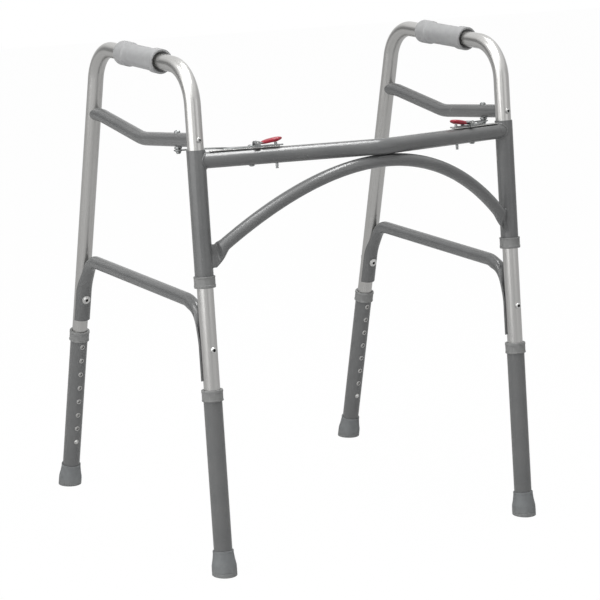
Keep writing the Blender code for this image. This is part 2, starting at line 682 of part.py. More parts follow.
def make_extension(name, slide, hole_side):
    # a leg extension with its collar and rubber tip, in the slide's own frame, Z up the leg
    top = EXTENSION_TOP - COLLAR_LIP - GAP
    profile = [(OUTER_TUBE_RADIUS, top), (OUTER_TUBE_RADIUS, EXTENSION_START),
               (BORE_RADIUS, EXTENSION_START), (BORE_RADIUS, top)]
    extension = turned(name + "_extension", profile, slide, GREY_PAINT, ring=True)
    rods = []
    for hole in range(HOLE_COUNT):
        height = TOP_HOLE - HOLE_PITCH * hole
        outward = Vector((0, hole_side * OUTER_TUBE_RADIUS * 1.3, height))
        rods.append(((0, hole_side * BORE_RADIUS * 0.7, height), outward, HOLE_RADIUS))
    combine(extension, cutter_of_rods(name + "_extension_holes", rods, slide, EXTENSION_HOLE_SIDES))
    make_collar(name + "_collar", slide, Matrix.Translation((0, 0, EXTENSION_TOP)))
    make_tip(name + "_tip", slide)


def make_tip(name, slide):
    # a rubber tip, cut level where it stands on the floor
    socket = OUTER_TUBE_RADIUS + GAP
    below = -TIP_FOOT_RADIUS
    profile = [(socket, TIP_TOP), (TIP_TOP_RADIUS - 0.0006, TIP_TOP), (TIP_TOP_RADIUS, TIP_TOP - 0.0008),
               (TIP_TOP_RADIUS + 0.0005, TIP_TOP * 0.55), (TIP_FOOT_RADIUS, TIP_FLARE_HEIGHT),
               (TIP_FOOT_RADIUS, below), (0, below), (0, TIP_FLOOR), (socket, TIP_FLOOR)]
    tip = turned(name, profile, slide, GREY_RUBBER, ring=True)
    wide = TIP_FOOT_RADIUS * 3
    ground = cutter_of_boxes(name + "_ground", [((-wide, -wide, -wide), (wide, wide, 0))], None)
    ground.parent = slide.parent
    ground.location = slide.location
    combine(tip, ground)


def make_snap_button(name, slide, hole_side):
    # a spring folded from strip, with its button through the tube and the extension
    height = TOP_HOLE - HOLE_PITCH * (HOLE_COUNT - 1)
    wall = SIDE_TUBE_RADIUS - SIDE_TUBE_WALL
    leaf = wall * 0.9
    strip = BUTTON_SPRING_THICKNESS
    reach = BUTTON_SPRING_REACH
    outline = [(leaf, 0.006), (leaf, -0.005), (strip * 1.5, -reach), (-strip * 1.5, -reach), (-leaf, -0.004),
               (-leaf, 0.004), (strip - leaf, 0.004), (strip - leaf, -0.0036), (0, strip * 1.2 - reach),
               (leaf - strip, -0.0046), (leaf - strip, 0.006)]
    facing = Matrix.Rotation(hole_side * pi / 2, 4, "Z") @ Matrix.Rotation(pi / 2, 4, "X")
    place = Matrix.Translation((0, 0, height)) @ facing
    spring = plate(name, [outline], 2 * BUTTON_SPRING_HALF_WIDTH, slide, BRIGHT_STEEL, place)
    proud = OUTER_TUBE_RADIUS + BUTTON_PROUD
    bm = bmesh.new()
    start = leaf - strip / 2
    for low, high, radius_low, radius_high in ((start, proud - 0.0008, 1, 1), (proud - 0.0008, proud, 1, 0.62)):
        matrix = Matrix.Translation(((low + high) / 2, 0, 0)) @ Matrix.Rotation(pi / 2, 4, "Y")
        bmesh.ops.create_cone(bm, cap_ends=True, segments=SMALL_SIDES, radius1=BUTTON_RADIUS * radius_low,
                              radius2=BUTTON_RADIUS * radius_high, depth=high - low, matrix=matrix)
    bmesh.ops.remove_doubles(bm, verts=bm.verts, dist=1e-6)
    doubled = [face for face in bm.faces if len(face.verts) == SMALL_SIDES
               and abs(face.calc_center_median().x - (proud - 0.0008)) < 1e-6]
    bmesh.ops.delete(bm, geom=doubled, context="FACES_ONLY")
    button = finish_cutter(name + "_button", bm, slide)
    button.matrix_local = place
    combine(spring, button, "UNION")


def link_bolt_place():
    # where the lock's bolt crosses the upper brace, in the side frame's plane
    return front_leg(UPPER_BRACE_FRONT_HEIGHT) - FRONT_OUT * LINK_BOLT_RADIUS


def slot_spine(side):
    # the path of the brace's bolt seen from the link, which turns on its rivet as the frame folds
    sweep = hypot(HALF_SPREAD, CROSSBAR_BOW)
    rivet = Vector((HALF_SPREAD, -CROSSBAR_BOW)) * (RIVET_AT / sweep)
    spine = []
    for step in range(LINK_STEPS + 1):
        share = 1 - step / LINK_STEPS
        fold = FOLD_LIMIT * share
        bolt = Vector((sin(fold), cos(fold))) * LINK_BOLT_RADIUS
        spine.append(Matrix.Rotation(LINK_TURN * share, 2) @ (bolt - rivet))
    return [Vector((-side * point.x, point.y)) for point in spine]


def make_lock_link(side, side_name, rivet_axis, bar_angle):
    # a slotted link: turns on the crossbar's rivet, and the brace's bolt runs in its slot
    slot = slot_spine(side)
    arm_way = Vector((cos(bar_angle), sin(bar_angle)))
    arm_end = arm_way * (PIN_AT - RIVET_AT + LINK_ARM_BEYOND_PIN)
    spine = [arm_end, arm_end * 0.5, Vector((0, 0)), slot[0] * 0.5] + slot
    arm = LINK_ARM_HALF_WIDTH
    widths = [arm, arm, arm * 1.1, LINK_HALF_WIDTH] + [LINK_HALF_WIDTH] * len(slot)
    outline = offset_outline(spine, widths)
    slot_half = BOLT_RADIUS + HOLE_CLEARANCE * 1.5
    slot_hole = offset_outline(slot, [slot_half] * len(slot))
    rivet_hole = circle((0, 0), RIVET_RADIUS + HOLE_CLEARANCE)
    place = Matrix.Translation((0, 0, (LINK_LOW + LINK_HIGH) / 2))
    link = plate(side_name + "_lock_link", [outline, slot_hole, rivet_hole], LINK_THICKNESS,
                 rivet_axis, GREY_PAINT, place)
    half = PIN_NOTCH_HALF_WIDTH
    pin = PIN_AT - RIVET_AT
    notch = cutter_of_boxes(side_name + "_link_notch",
                            [((pin - half, -PIN_RADIUS - 2 * HOLE_CLEARANCE, LINK_LOW - GAP),
                              (pin + half, arm * 2, LINK_HIGH + GAP))], rivet_axis)
    turn = 0 if side < 0 else pi
    notch.matrix_local = Matrix.Rotation(bar_angle - turn, 4, "Z") @ mirror_x(side)
    combine(link, notch)


def mirror_x(side):
    # left pieces run along +X from their hinge, right ones along -X
    return Matrix.Diagonal((-side, 1, 1, 1))


def make_lock_bracket(side_name, bar):
    # a pressed bracket on the crossbar, with two ears for the lever's pivot
    top = BRACKET_TOP
    low = top - BRACKET_THICKNESS
    wide = BRACKET_HALF_WIDTH
    inner = wide - BRACKET_THICKNESS
    pivot = top + PIVOT_RISE
    ear_top = pivot + PIVOT_RADIUS + EAR_ABOVE_PIVOT
    section = [(-wide, low), (wide, low), (wide, ear_top), (inner, ear_top), (inner, top), (-inner, top),
               (-inner, ear_top), (-wide, ear_top)]
    middle = (BRACKET_START + BRACKET_END) / 2
    place = Matrix.Translation((middle, 0, 0)) @ Matrix.Rotation(pi / 2, 4, "Z") @ Matrix.Rotation(pi / 2, 4, "X")
    bracket = plate(side_name + "_lock_bracket", [section], BRACKET_END - BRACKET_START, bar, BRIGHT_STEEL, place)
    boxes = []
    for start, end in ((BRACKET_START - GAP, LEVER_PIVOT_AT - EAR_HALF_LENGTH),
                       (LEVER_PIVOT_AT + EAR_HALF_LENGTH, BRACKET_END + GAP)):
        boxes.append(((start, -wide * 1.5, top), (end, wide * 1.5, ear_top * 1.2)))
    combine(bracket, cutter_of_boxes(side_name + "_bracket_trim", boxes, bar))
    rods = [((RIVET_AT, 0, low - GAP), (RIVET_AT, 0, top + GAP), RIVET_RADIUS + HOLE_CLEARANCE),
            ((PIN_AT, 0, low - GAP), (PIN_AT, 0, top + GAP), PIN_RADIUS + HOLE_CLEARANCE),
            ((LEVER_PIVOT_AT, -wide * 1.2, pivot), (LEVER_PIVOT_AT, wide * 1.2, pivot),
             PIVOT_RADIUS + HOLE_CLEARANCE)]
    combine(bracket, cutter_of_rods(side_name + "_bracket_holes", rods, bar))
    reach = wide + PIVOT_PROUD
    pin_profile = [(0, reach), (PIVOT_RADIUS, reach), (PIVOT_RADIUS, -reach), (0, -reach)]
    place = Matrix.Translation((LEVER_PIVOT_AT, 0, pivot)) @ Matrix.Rotation(pi / 2, 4, "X")
    turned(side_name + "_lever_pivot", pin_profile, bar, BRIGHT_STEEL, place, SMALL_SIDES)


def make_rivet(side_name, bar):
    # holds the bracket down, and the link turns on it
    link_top = LINK_HIGH + GAP
    bar_low = -CROSSBAR_RADIUS - GAP
    head, rise, shank = RIVET_HEAD_RADIUS, RIVET_HEAD_HEIGHT, RIVET_RADIUS
    crown, shoulder = head * HEAD_CROWN, rise * HEAD_SHOULDER
    profile = [(0, link_top + rise), (crown, link_top + rise), (head, link_top + shoulder), (head, link_top),
               (shank, link_top), (shank, bar_low), (head, bar_low), (head, bar_low - shoulder),
               (crown, bar_low - rise), (0, bar_low - rise)]
    turned(side_name + "_lock_rivet", profile, bar, BRIGHT_STEEL, Matrix.Translation((RIVET_AT, 0, 0)), SMALL_SIDES)


def lever_centre_line(along):
    # height of the lever strip's middle above its pivot, at a distance inwards from it
    return tan(LEVER_RISE) * (along - LEVER_EYE_RADIUS)


def make_lever(side_name, lever_axis):
    # a strip lever rolled round its pivot, with a dipped red end
    half = LEVER_THICKNESS / 2
    eye = LEVER_EYE_RADIUS
    end = LEVER_REACH
    neck = asin(half / eye)
    outline = [(end, lever_centre_line(end) + half)] + arc((0, 0), eye, neck, 2 * pi - neck, 8)
    outline.append((end, lever_centre_line(end) - half))
    side_view = Matrix.Rotation(pi / 2, 4, "X")
    plate(side_name + "_release_lever", [outline, circle((0, 0), PIVOT_RADIUS + HOLE_CLEARANCE)],
          2 * LEVER_HALF_WIDTH, lever_axis, BRIGHT_STEEL, side_view)
    start, end = TIP_COVER_START, TIP_COVER_END
    below, above = TIP_COVER_BELOW, TIP_COVER_ABOVE
    cover = [(start, lever_centre_line(start) - below * 0.8), (end - below, lever_centre_line(end) - below),
             (end, lever_centre_line(end) - below * 0.3), (end, lever_centre_line(end) + above * 0.5),
             (end - above, lever_centre_line(end) + above), (start + above, lever_centre_line(start) + above),
             (start, lever_centre_line(start) + above * 0.4)]
    tip = plate(side_name + "_lever_tip", [cover], 2 * TIP_COVER_HALF_WIDTH, lever_axis, RED_VINYL, side_view)
    pocket_end = LEVER_REACH + GAP
    inner = half + GAP
    mouth = start - 0.002
    pocket = [(mouth, lever_centre_line(mouth) - inner), (pocket_end, lever_centre_line(pocket_end) - inner),
              (pocket_end, lever_centre_line(pocket_end) + inner), (mouth, lever_centre_line(mouth) + inner)]
    cutter = plate(side_name + "_tip_pocket", [pocket], 2 * (LEVER_HALF_WIDTH + GAP), lever_axis, None, side_view)
    WALKER.objects.unlink(cutter)
    CUTTERS.objects.link(cutter)
    cutter.display_type = "WIRE"
    cutter.hide_render = True
    combine(tip, cutter)


def make_lock_pin(side_name, pin_axis):
    # a pin through the link's notch, the bracket and the crossbar, pushed down by the lever's tip
    under_tip = BRACKET_TOP + PIVOT_RISE + lever_centre_line(PIN_AT - LEVER_PIVOT_AT) - TIP_COVER_BELOW - GAP
    top = under_tip - PIN_RADIUS * tan(LEVER_RISE)
    bottom = -CROSSBAR_RADIUS - PIN_SHOWS_BELOW
    profile = [(0, top), (PIN_RADIUS * 0.6, top - 0.0002), (PIN_RADIUS, top - 0.0008),
               (PIN_RADIUS, bottom + 0.0006), (PIN_RADIUS * 0.7, bottom), (0, bottom)]
    turned(side_name + "_lock_pin", profile, pin_axis, BRIGHT_STEEL, None, SMALL_SIDES)


def make_link_bolt(side_name, fold):
    # through the upper brace, a spacer and the link's slot
    brace_top = UPPER_BRACE_RISE + UPPER_BRACE_RADIUS + GAP
    brace_low = UPPER_BRACE_RISE - UPPER_BRACE_RADIUS - GAP
    head, nut, shank = BOLT_HEAD_RADIUS, NUT_RADIUS, BOLT_RADIUS
    nut_top = LINK_LOW - GAP
    nut_low = nut_top - LINK_NUT_HEIGHT
    profile = [(0, brace_top + BOLT_HEAD_HEIGHT), (head * HEAD_CROWN, brace_top + BOLT_HEAD_HEIGHT),
               (head, brace_top + BOLT_HEAD_HEIGHT * HEAD_SHOULDER), (head, brace_top), (shank, brace_top),
               (shank, brace_low), (SPACER_RADIUS, brace_low), (SPACER_RADIUS, LINK_HIGH + GAP),
               (shank, LINK_HIGH + GAP), (shank, nut_top), (nut, nut_top), (nut, nut_low), (shank, nut_low),
               (shank, nut_low - THREAD_SHOWS), (0, nut_low - THREAD_SHOWS)]
    bolt = link_bolt_place() - FRONT_UP * UPPER_BRACE_RISE
    turned(side_name + "_link_bolt", profile, fold, BRIGHT_STEEL, place_along(bolt, FRONT_UP), SMALL_SIDES)


def make_side(side, side_name, walker, front_plane):
    hinge = Vector((side * HALF_SPREAD, 0, CROSSBAR_HEIGHT))
    fold = make_empty(side_name + "_fold_axis", walker, hinge)
    make_sleeve(side, side_name, front_plane)
    make_side_tube(side_name, fold)
    make_grip(side_name, fold)
    make_upper_brace(side_name, fold)
    make_lower_brace(side_name, fold)
    make_lower_bolts(side_name, fold)
    make_link_bolt(side_name, fold)
    for end, foot, lean, hole_side in (("front", FRONT_FOOT, -FRONT_LEAN, 1), ("rear", REAR_FOOT, REAR_LEAN, -1)):
        name = f"{side_name}_{end}"
        slide = make_empty(name + "_leg_slide", fold, foot, (lean, 0, 0))
        make_extension(name, slide, hole_side)
        make_snap_button(name + "_snap_button", slide, hole_side)

    bar_angle = atan2(-CROSSBAR_BOW, -side * HALF_SPREAD)
    bar = make_empty(side_name + "_crossbar_line", front_plane, (side * HALF_SPREAD, 0, 0), (0, 0, bar_angle))
    rivet = Vector((side * HALF_SPREAD, 0, 0)) + Matrix.Rotation(bar_angle, 3, "Z") @ Vector((RIVET_AT, 0, 0))
    rivet_axis = make_empty(side_name + "_link_axis", front_plane, rivet)
    make_lock_link(side, side_name, rivet_axis, bar_angle)
    make_lock_bracket(side_name, bar)
    make_rivet(side_name, bar)
    pivot = (LEVER_PIVOT_AT, 0, BRACKET_TOP + PIVOT_RISE)
    make_lever(side_name, make_empty(side_name + "_lever_axis", bar, pivot))
    make_lock_pin(side_name, make_empty(side_name + "_pin_axis", bar, (PIN_AT, 0, 0)))


def make_walker():
    walker = make_empty("walker_origin", None, (0, CENTRE_SHIFT, 0))
    front_plane = make_empty("front_plane", walker, (0, 0, CROSSBAR_HEIGHT), (-FRONT_LEAN, 0, 0))
    make_crossbar(front_plane)
    make_arch(front_plane)
    for side, side_name in ((-1, "left"), (1, "right")):
        make_side(side, side_name, walker, front_plane)


make_walker()
bpy.context.view_layer.update()
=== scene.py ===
import bpy
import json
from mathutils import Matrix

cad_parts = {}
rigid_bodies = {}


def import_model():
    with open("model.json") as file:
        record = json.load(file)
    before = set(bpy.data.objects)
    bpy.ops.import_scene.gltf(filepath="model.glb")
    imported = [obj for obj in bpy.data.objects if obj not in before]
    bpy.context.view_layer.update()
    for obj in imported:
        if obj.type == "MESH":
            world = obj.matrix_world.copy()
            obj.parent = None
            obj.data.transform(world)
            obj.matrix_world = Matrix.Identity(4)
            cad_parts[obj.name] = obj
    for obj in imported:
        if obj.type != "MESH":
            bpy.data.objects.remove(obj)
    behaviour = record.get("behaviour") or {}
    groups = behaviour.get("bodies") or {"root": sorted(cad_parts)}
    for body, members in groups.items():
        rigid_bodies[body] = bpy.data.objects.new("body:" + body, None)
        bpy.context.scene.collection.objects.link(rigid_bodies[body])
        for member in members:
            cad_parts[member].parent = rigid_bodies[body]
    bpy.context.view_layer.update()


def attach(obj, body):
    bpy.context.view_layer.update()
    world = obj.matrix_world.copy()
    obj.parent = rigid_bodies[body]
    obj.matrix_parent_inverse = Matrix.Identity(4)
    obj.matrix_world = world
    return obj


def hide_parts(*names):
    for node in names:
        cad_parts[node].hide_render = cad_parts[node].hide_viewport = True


for old in list(bpy.data.objects):
    bpy.data.objects.remove(old, do_unlink=True)
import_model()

import bmesh
import json
from math import sin, cos, tan, pi, radians, hypot, atan2, sqrt
from mathutils import Vector, Matrix, noise

print("frame loaded")

# places shared by every piece, in metres in the model's own frame
layout = {
    "halfSpread": 0.2870,       # leg plane from the middle
    "hingeY": -0.1955309,       # front leg's axis at crossbar height
    "barHeight": 0.6361,
    "handleHeight": 0.7753,
    "cornerSpan": 0.3103,       # from front leg to rear leg at the handle's height
    "frontLean": radians(7.0),
    "rearLean": radians(10.35),
    "tubeRadius": 0.0127,
    "outerRadius": 0.0145,      # hinge sleeves and leg extensions
    "gap": 0.0003,              # between pieces that rest on each other
}

across = Vector((1, 0, 0))
frontUp = Vector((0, sin(layout["frontLean"]), cos(layout["frontLean"])))
frontOut = Vector((0, -cos(layout["frontLean"]), sin(layout["frontLean"])))
rearUp = Vector((0, -sin(layout["rearLean"]), cos(layout["rearLean"])))
rearOut = Vector((0, cos(layout["rearLean"]), sin(layout["rearLean"])))
sides = ((-1, "left"), (1, "right"))


def frontLeg(side, height):
    y = layout["hingeY"] + tan(layout["frontLean"]) * (height - layout["barHeight"])
    return Vector((side * layout["halfSpread"], y, height))


def rearLeg(side, height):
    corner = frontLeg(side, layout["handleHeight"]).y + layout["cornerSpan"]
    y = corner + tan(layout["rearLean"]) * (layout["handleHeight"] - height)
    return Vector((side * layout["halfSpread"], y, height))


def frontPlane(x, y, z):
    # x across, y back and z up the front legs, from the middle of the line between the hinges
    return Vector((x, layout["hingeY"], layout["barHeight"])) - frontOut * y + frontUp * z


def frameFrom(origin, xWay, zWay):
    xWay, zWay = xWay.normalized(), zWay.normalized()
    matrix = Matrix((xWay, zWay.cross(xWay), zWay)).transposed().to_4x4()
    matrix.translation = origin
    return matrix


def pointAlong(origin, zWay):
    xWay = across if abs(zWay.x) < 0.9 else Vector((0, 1, 0))
    return frameFrom(origin, xWay - zWay * xWay.dot(zWay), zWay)


def spaced(start, end, steps):
    return [start + (end - start) * step / steps for step in range(steps + 1)]


def circle(radius, count, x=0.0, start=0.0):
    turns = [start + 2 * pi * k / count for k in range(count)]
    return [(x + radius * cos(turn), radius * sin(turn)) for turn in turns]


def eased(value, start, end):
    # 0 at start to 1 at end, with soft ends
    t = min(max((value - start) / (end - start), 0), 1)
    return t * t * (3 - 2 * t)


class Nodes:
    # short calls for one node tree
    def __init__(self, tree):
        self.tree = tree

    def add(self, kind, **settings):
        node = self.tree.nodes.new("ShaderNode" + kind)
        for key, value in settings.items():
            setattr(node, key, value)
        return node

    def join(self, source, target):
        self.tree.links.new(source, target)

    def feed(self, node, **values):
        # a key is an input's name, or i and its number
        for key, value in values.items():
            socket = node.inputs[int(key[1:]) if key[1:].isdigit() else key]
            if isinstance(value, bpy.types.NodeSocket):
                self.join(value, socket)
            else:
                socket.default_value = value
        return node.outputs

    def where(self, kind="Object"):
        return self.add("TexCoord").outputs[kind]

    def math(self, operation, a, b=0.0, clamp=False):
        return self.feed(self.add("Math", operation=operation, use_clamp=clamp), i0=a, i1=b)[0]

    def noise(self, vector, scale, detail=2.0, roughness=0.5, output="Fac"):
        node = self.add("TexNoise")
        return self.feed(node, Vector=vector, Scale=scale, Detail=detail, Roughness=roughness)[output]

    def cells(self, vector, scale, feature="SMOOTH_F1"):
        return self.feed(self.add("TexVoronoi", feature=feature), Vector=vector, Scale=scale)["Distance"]

    def spread(self, value, low, high, toLow=0.0, toHigh=1.0):
        return self.feed(self.add("MapRange"), i0=value, i1=low, i2=high, i3=toLow, i4=toHigh)[0]

    def between(self, value, pair=(0.0, 1.0)):
        # the middle of a noise's range, spread over a pair of values
        return self.spread(value, 0.3, 0.7, *pair)

    def mix(self, factor, a, b):
        return self.feed(self.add("Mix", data_type="RGBA"), i0=factor, i6=a, i7=b)[2]

    def scaled(self, vector, x, y, z):
        return self.feed(self.add("Mapping"), Vector=vector, Scale=(x, y, z))[0]

    def dot(self, vector, way):
        return self.feed(self.add("VectorMath", operation="DOT_PRODUCT"), i0=vector, i1=way)["Value"]

    def effect(self, name, **values):
        return self.feed(self.add("Group", node_tree=groups[name]), **values)

    def mottled(self, size, look):
        return self.effect("softMottle", Size=size, Dark=look["deep"], Light=look["pale"])

    def scuffed(self, colour, look, size, amount):
        scuff = self.effect("fineScuffs", Size=size, Amount=amount)["Scuff"]
        return self.mix(scuff, colour, look["rubbed"])


groups = {}


def newGroup(name, inputs, outputs):
    group = bpy.data.node_groups.new(name, "ShaderNodeTree")
    for label, value in inputs.items():
        kind = "NodeSocketFloat" if isinstance(value, float) else "NodeSocketColor"
        group.interface.new_socket(label, in_out="INPUT", socket_type=kind).default_value = value
    for label in outputs:
        kind = "NodeSocketColor" if label == "Colour" else "NodeSocketFloat"
        group.interface.new_socket(label, in_out="OUTPUT", socket_type=kind)
    groups[name] = group
    return Nodes(group), group.nodes.new("NodeGroupInput").outputs, group.nodes.new("NodeGroupOutput").inputs


def makeDrawnStreaks():
    # drawn lines along a tube, from the piece's own UV in metres
    n, given, out = newGroup("drawnStreaks", {"Around": 900.0, "Along": 9.0, "Contrast": 1.0},
                             ["Streak", "Blotch"])
    uv = n.where("UV")
    split = n.feed(n.add("SeparateXYZ"), i0=uv)
    stretched = n.feed(n.add("CombineXYZ"), i0=n.math("MULTIPLY", split[0], given["Around"]),
                       i1=n.math("MULTIPLY", split[1], given["Along"]))
    fine = n.noise(stretched[0], 1.0, 4.0, 0.6)
    centred = n.math("MULTIPLY", n.math("SUBTRACT", fine, 0.5), given["Contrast"])
    n.join(n.math("ADD", centred, 0.5, clamp=True), out["Streak"])
    n.join(n.noise(n.scaled(uv, 18, 7, 1), 1.0), out["Blotch"])


def makeHammeredSkin():
    # sprayed enamel with a fine hammered skin and light flecks
    n, given, out = newGroup("hammeredSkin", {"Cells": 420.0, "Flecks": 900.0}, ["Height", "Fleck", "Tone"])
    where = n.where()
    dents = n.cells(where, given["Cells"])
    ripple = n.noise(where, n.math("MULTIPLY", given["Cells"], 0.35))
    n.join(n.math("ADD", dents, n.math("MULTIPLY", ripple, 0.8)), out["Height"])
    n.join(n.spread(n.noise(where, given["Flecks"], 1.0, 0.4), 0.66, 0.74), out["Fleck"])
    n.join(n.noise(where, 22.0, 3.0), out["Tone"])


def makeSoftMottle():
    # slow change of shade that keeps a surface from looking flat
    n, given, out = newGroup("softMottle", {"Size": 60.0, "Dark": (0.1, 0.1, 0.1, 1),
                                            "Light": (0.2, 0.2, 0.2, 1)}, ["Colour", "Mask"])
    mask = n.between(n.noise(n.where(), given["Size"], 4.0, 0.55))
    n.join(n.mix(mask, given["Dark"], given["Light"]), out["Colour"])
    n.join(mask, out["Mask"])


def makeFineScuffs():
    # thin scattered rubs and scratches
    n, given, out = newGroup("fineScuffs", {"Size": 90.0, "Amount": 0.5}, ["Scuff"])
    where = n.where()
    wobble = n.scaled(n.noise(where, 30.0, output="Color"), 0.03, 0.03, 0.03)
    bent = n.feed(n.add("VectorMath", operation="ADD"), i0=where, i1=wobble)[0]
    lines = n.cells(n.scaled(bent, 1.0, 0.35, 0.12), given["Size"], "DISTANCE_TO_EDGE")
    thin = n.spread(lines, 0.0, 0.025, 1.0, 0.0)
    patches = n.spread(n.noise(where, 35.0, 3.0), 0.45, 0.65)
    n.join(n.math("MULTIPLY", n.math("MULTIPLY", thin, patches), given["Amount"], clamp=True), out["Scuff"])


makeDrawnStreaks()
makeHammeredSkin()
makeSoftMottle()
makeFineScuffs()
print("shader groups made")


def newMaterial(name):
    material = bpy.data.materials.new(name)
    material.use_nodes = True
    return material, Nodes(material.node_tree), material.node_tree.nodes["Principled BSDF"]


def dress(n, shader, colour, rough, bump, **others):
    # bump is the height, its depth in metres and its strength
    height, depth, strength = bump
    normal = n.feed(n.add("Bump"), Height=height, Distance=depth, Strength=strength)[0]
    n.feed(shader, **{"Base Color": colour, "Roughness": rough, "Normal": normal}, **others)


def makeAluminium():
    # satin drawn tube
    look = {"dull": (0.49, 0.487, 0.475, 1), "bright": (0.64, 0.636, 0.625, 1), "rough": (0.24, 0.36),
            "blotch": (0.50, 0.49, 0.47, 1), "rubbed": (0.74, 0.74, 0.74, 1)}
    material, n, shader = newMaterial("satinAluminium")
    streaks = n.effect("drawnStreaks", Around=1400.0, Along=10.0, Contrast=1.2)
    scuff = n.effect("fineScuffs", Size=70.0, Amount=0.12)["Scuff"]
    colour = n.mix(streaks["Streak"], look["dull"], look["bright"])
    colour = n.mix(n.spread(streaks["Blotch"], 0.35, 0.75, 0.0, 0.25), colour, look["blotch"])
    colour = n.mix(scuff, colour, look["rubbed"])
    rough = n.spread(streaks["Streak"], 0.2, 0.8, look["rough"][1], look["rough"][0])
    rough = n.math("ADD", rough, n.math("MULTIPLY", scuff, 0.2))
    dress(n, shader, colour, rough, (streaks["Streak"], 0.00003, 0.5), Metallic=1.0, Anisotropic=0.35)
    return material


def makeHammeredPaint():
    # dark grey enamel with a hammered skin
    look = {"deep": (0.103, 0.105, 0.106, 1), "pale": (0.118, 0.120, 0.120, 1),
            "fleck": (0.34, 0.345, 0.345, 1), "rubbed": (0.27, 0.27, 0.27, 1), "rough": (0.235, 0.275)}
    material, n, shader = newMaterial("hammeredGrey")
    skin = n.effect("hammeredSkin", Cells=430.0, Flecks=1100.0)
    colour = n.mix(n.between(skin["Tone"]), look["deep"], look["pale"])
    colour = n.mix(n.math("MULTIPLY", skin["Fleck"], 0.3), colour, look["fleck"])
    colour = n.scuffed(colour, look, 60.0, 0.02)
    dress(n, shader, colour, n.between(skin["Tone"], look["rough"]), (skin["Height"], 0.00022, 0.6),
          **{"Specular IOR Level": 0.6})
    return material


def makeGripVinyl():
    # pale grey soft grip with a fine leathery grain
    look = {"deep": (0.243, 0.245, 0.247, 1), "pale": (0.296, 0.298, 0.300, 1),
            "hollow": (0.22, 0.222, 0.225, 1), "rough": (0.58, 0.74)}
    material, n, shader = newMaterial("gripVinyl")
    where = n.where()
    grain, pores = n.cells(where, 900.0), n.noise(where, 2200.0)
    height = n.math("ADD", grain, n.math("MULTIPLY", pores, 0.5))
    colour = n.mix(n.spread(grain, 0.1, 0.6, 0.25, 0.0), n.mottled(90.0, look)["Colour"], look["hollow"])
    dress(n, shader, colour, n.between(pores, look["rough"]), (height, 0.00015, 0.5),
          **{"Sheen Weight": 0.12})
    return material


def makeCollarPlastic():
    # moulded grey plastic, a little paler than the enamel
    look = {"deep": (0.163, 0.165, 0.163, 1), "pale": (0.196, 0.198, 0.195, 1),
            "rubbed": (0.30, 0.305, 0.30, 1), "rough": (0.42, 0.58)}
    material, n, shader = newMaterial("collarPlastic")
    colour = n.scuffed(n.mottled(140.0, look)["Colour"], look, 130.0, 0.4)
    spark = n.noise(n.where(), 1500.0, 3.0)
    dress(n, shader, colour, n.between(spark, look["rough"]), (spark, 0.00006, 0.6))
    return material


def makeTipRubber():
    # bluish grey rubber, scuffed and dusty near the floor
    look = {"deep": (0.132, 0.139, 0.142, 1), "pale": (0.160, 0.168, 0.171, 1),
            "dust": (0.24, 0.235, 0.22, 1), "dustTop": 0.016, "rubbed": (0.25, 0.26, 0.26, 1),
            "rough": (0.62, 0.8)}
    material, n, shader = newMaterial("tipRubber")
    where = n.where()
    height = n.feed(n.add("SeparateXYZ"), i0=where)[2]
    low = n.spread(height, 0.0, look["dustTop"], 1.0, 0.0)
    dust = n.math("MULTIPLY", low, n.noise(where, 260.0, 4.0), clamp=True)
    colour = n.mix(n.math("MULTIPLY", dust, 0.5), n.mottled(110.0, look)["Colour"], look["dust"])
    colour = n.scuffed(colour, look, 150.0, 0.6)
    grain = n.noise(where, 1300.0, 3.0)
    dress(n, shader, colour, n.between(grain, look["rough"]), (grain, 0.00012, 0.6))
    return material


def makeSteel(name, deep, pale, roughness):
    # zinc plated steel with light tarnish
    look = {"deep": deep, "pale": pale, "rubbed": (0.85, 0.85, 0.84, 1), "duller": 0.12}
    material, n, shader = newMaterial(name)
    mottle = n.mottled(420.0, look)
    colour = n.scuffed(mottle["Colour"], look, 260.0, 0.7)
    rough = n.spread(mottle["Mask"], 0.0, 1.0, roughness + look["duller"], roughness)
    dress(n, shader, colour, rough, (mottle["Mask"], 0.00004, 0.5), Metallic=1.0)
    return material


def makeRedVinyl():
    # thick dipped vinyl with a wet gloss
    look = {"deep": (0.20, 0.006, 0.018, 1), "pale": (0.32, 0.010, 0.028, 1), "rough": (0.26, 0.40)}
    material, n, shader = newMaterial("dippedRed")
    flow = n.noise(n.where(), 160.0)
    dress(n, shader, n.mottled(300.0, look)["Colour"], n.between(flow, look["rough"]), (flow, 0.0006, 0.35),
          **{"Specular IOR Level": 0.35, "Coat Weight": 0.12, "Coat Roughness": 0.15})
    return material


aluminium = makeAluminium()
greyPaint = makeHammeredPaint()
gripVinyl = makeGripVinyl()
collarPlastic = makeCollarPlastic()
tipRubber = makeTipRubber()
brightSteel = makeSteel("platedSteel", (0.52, 0.52, 0.51, 1), (0.74, 0.74, 0.73, 1), 0.2)
screwSteel = makeSteel("screwSteel", (0.34, 0.34, 0.335, 1), (0.60, 0.60, 0.59, 1), 0.24)
# near-black steel, used only as painted shade inside the hexagon sockets
socketShadeSteel = makeSteel("socketShadeSteel", (0.030, 0.030, 0.030, 1), (0.070, 0.069, 0.067, 1), 0.45)
linkSteel = makeSteel("linkSteel", (0.20, 0.21, 0.21, 1), (0.36, 0.37, 0.37, 1), 0.3)
redVinyl = makeRedVinyl()
print("materials made")


def meshFrom(name, bm):
    mesh = bpy.data.meshes.new(name)
    bm.to_mesh(mesh)
    bm.free()
    return mesh


def addObject(name, data):
    made = bpy.data.objects.new(name, data)
    bpy.context.scene.collection.objects.link(made)
    return made


def evaluatedMesh(source):
    bpy.context.view_layer.update()
    return bpy.data.meshes.new_from_object(source.evaluated_get(bpy.context.evaluated_depsgraph_get()))


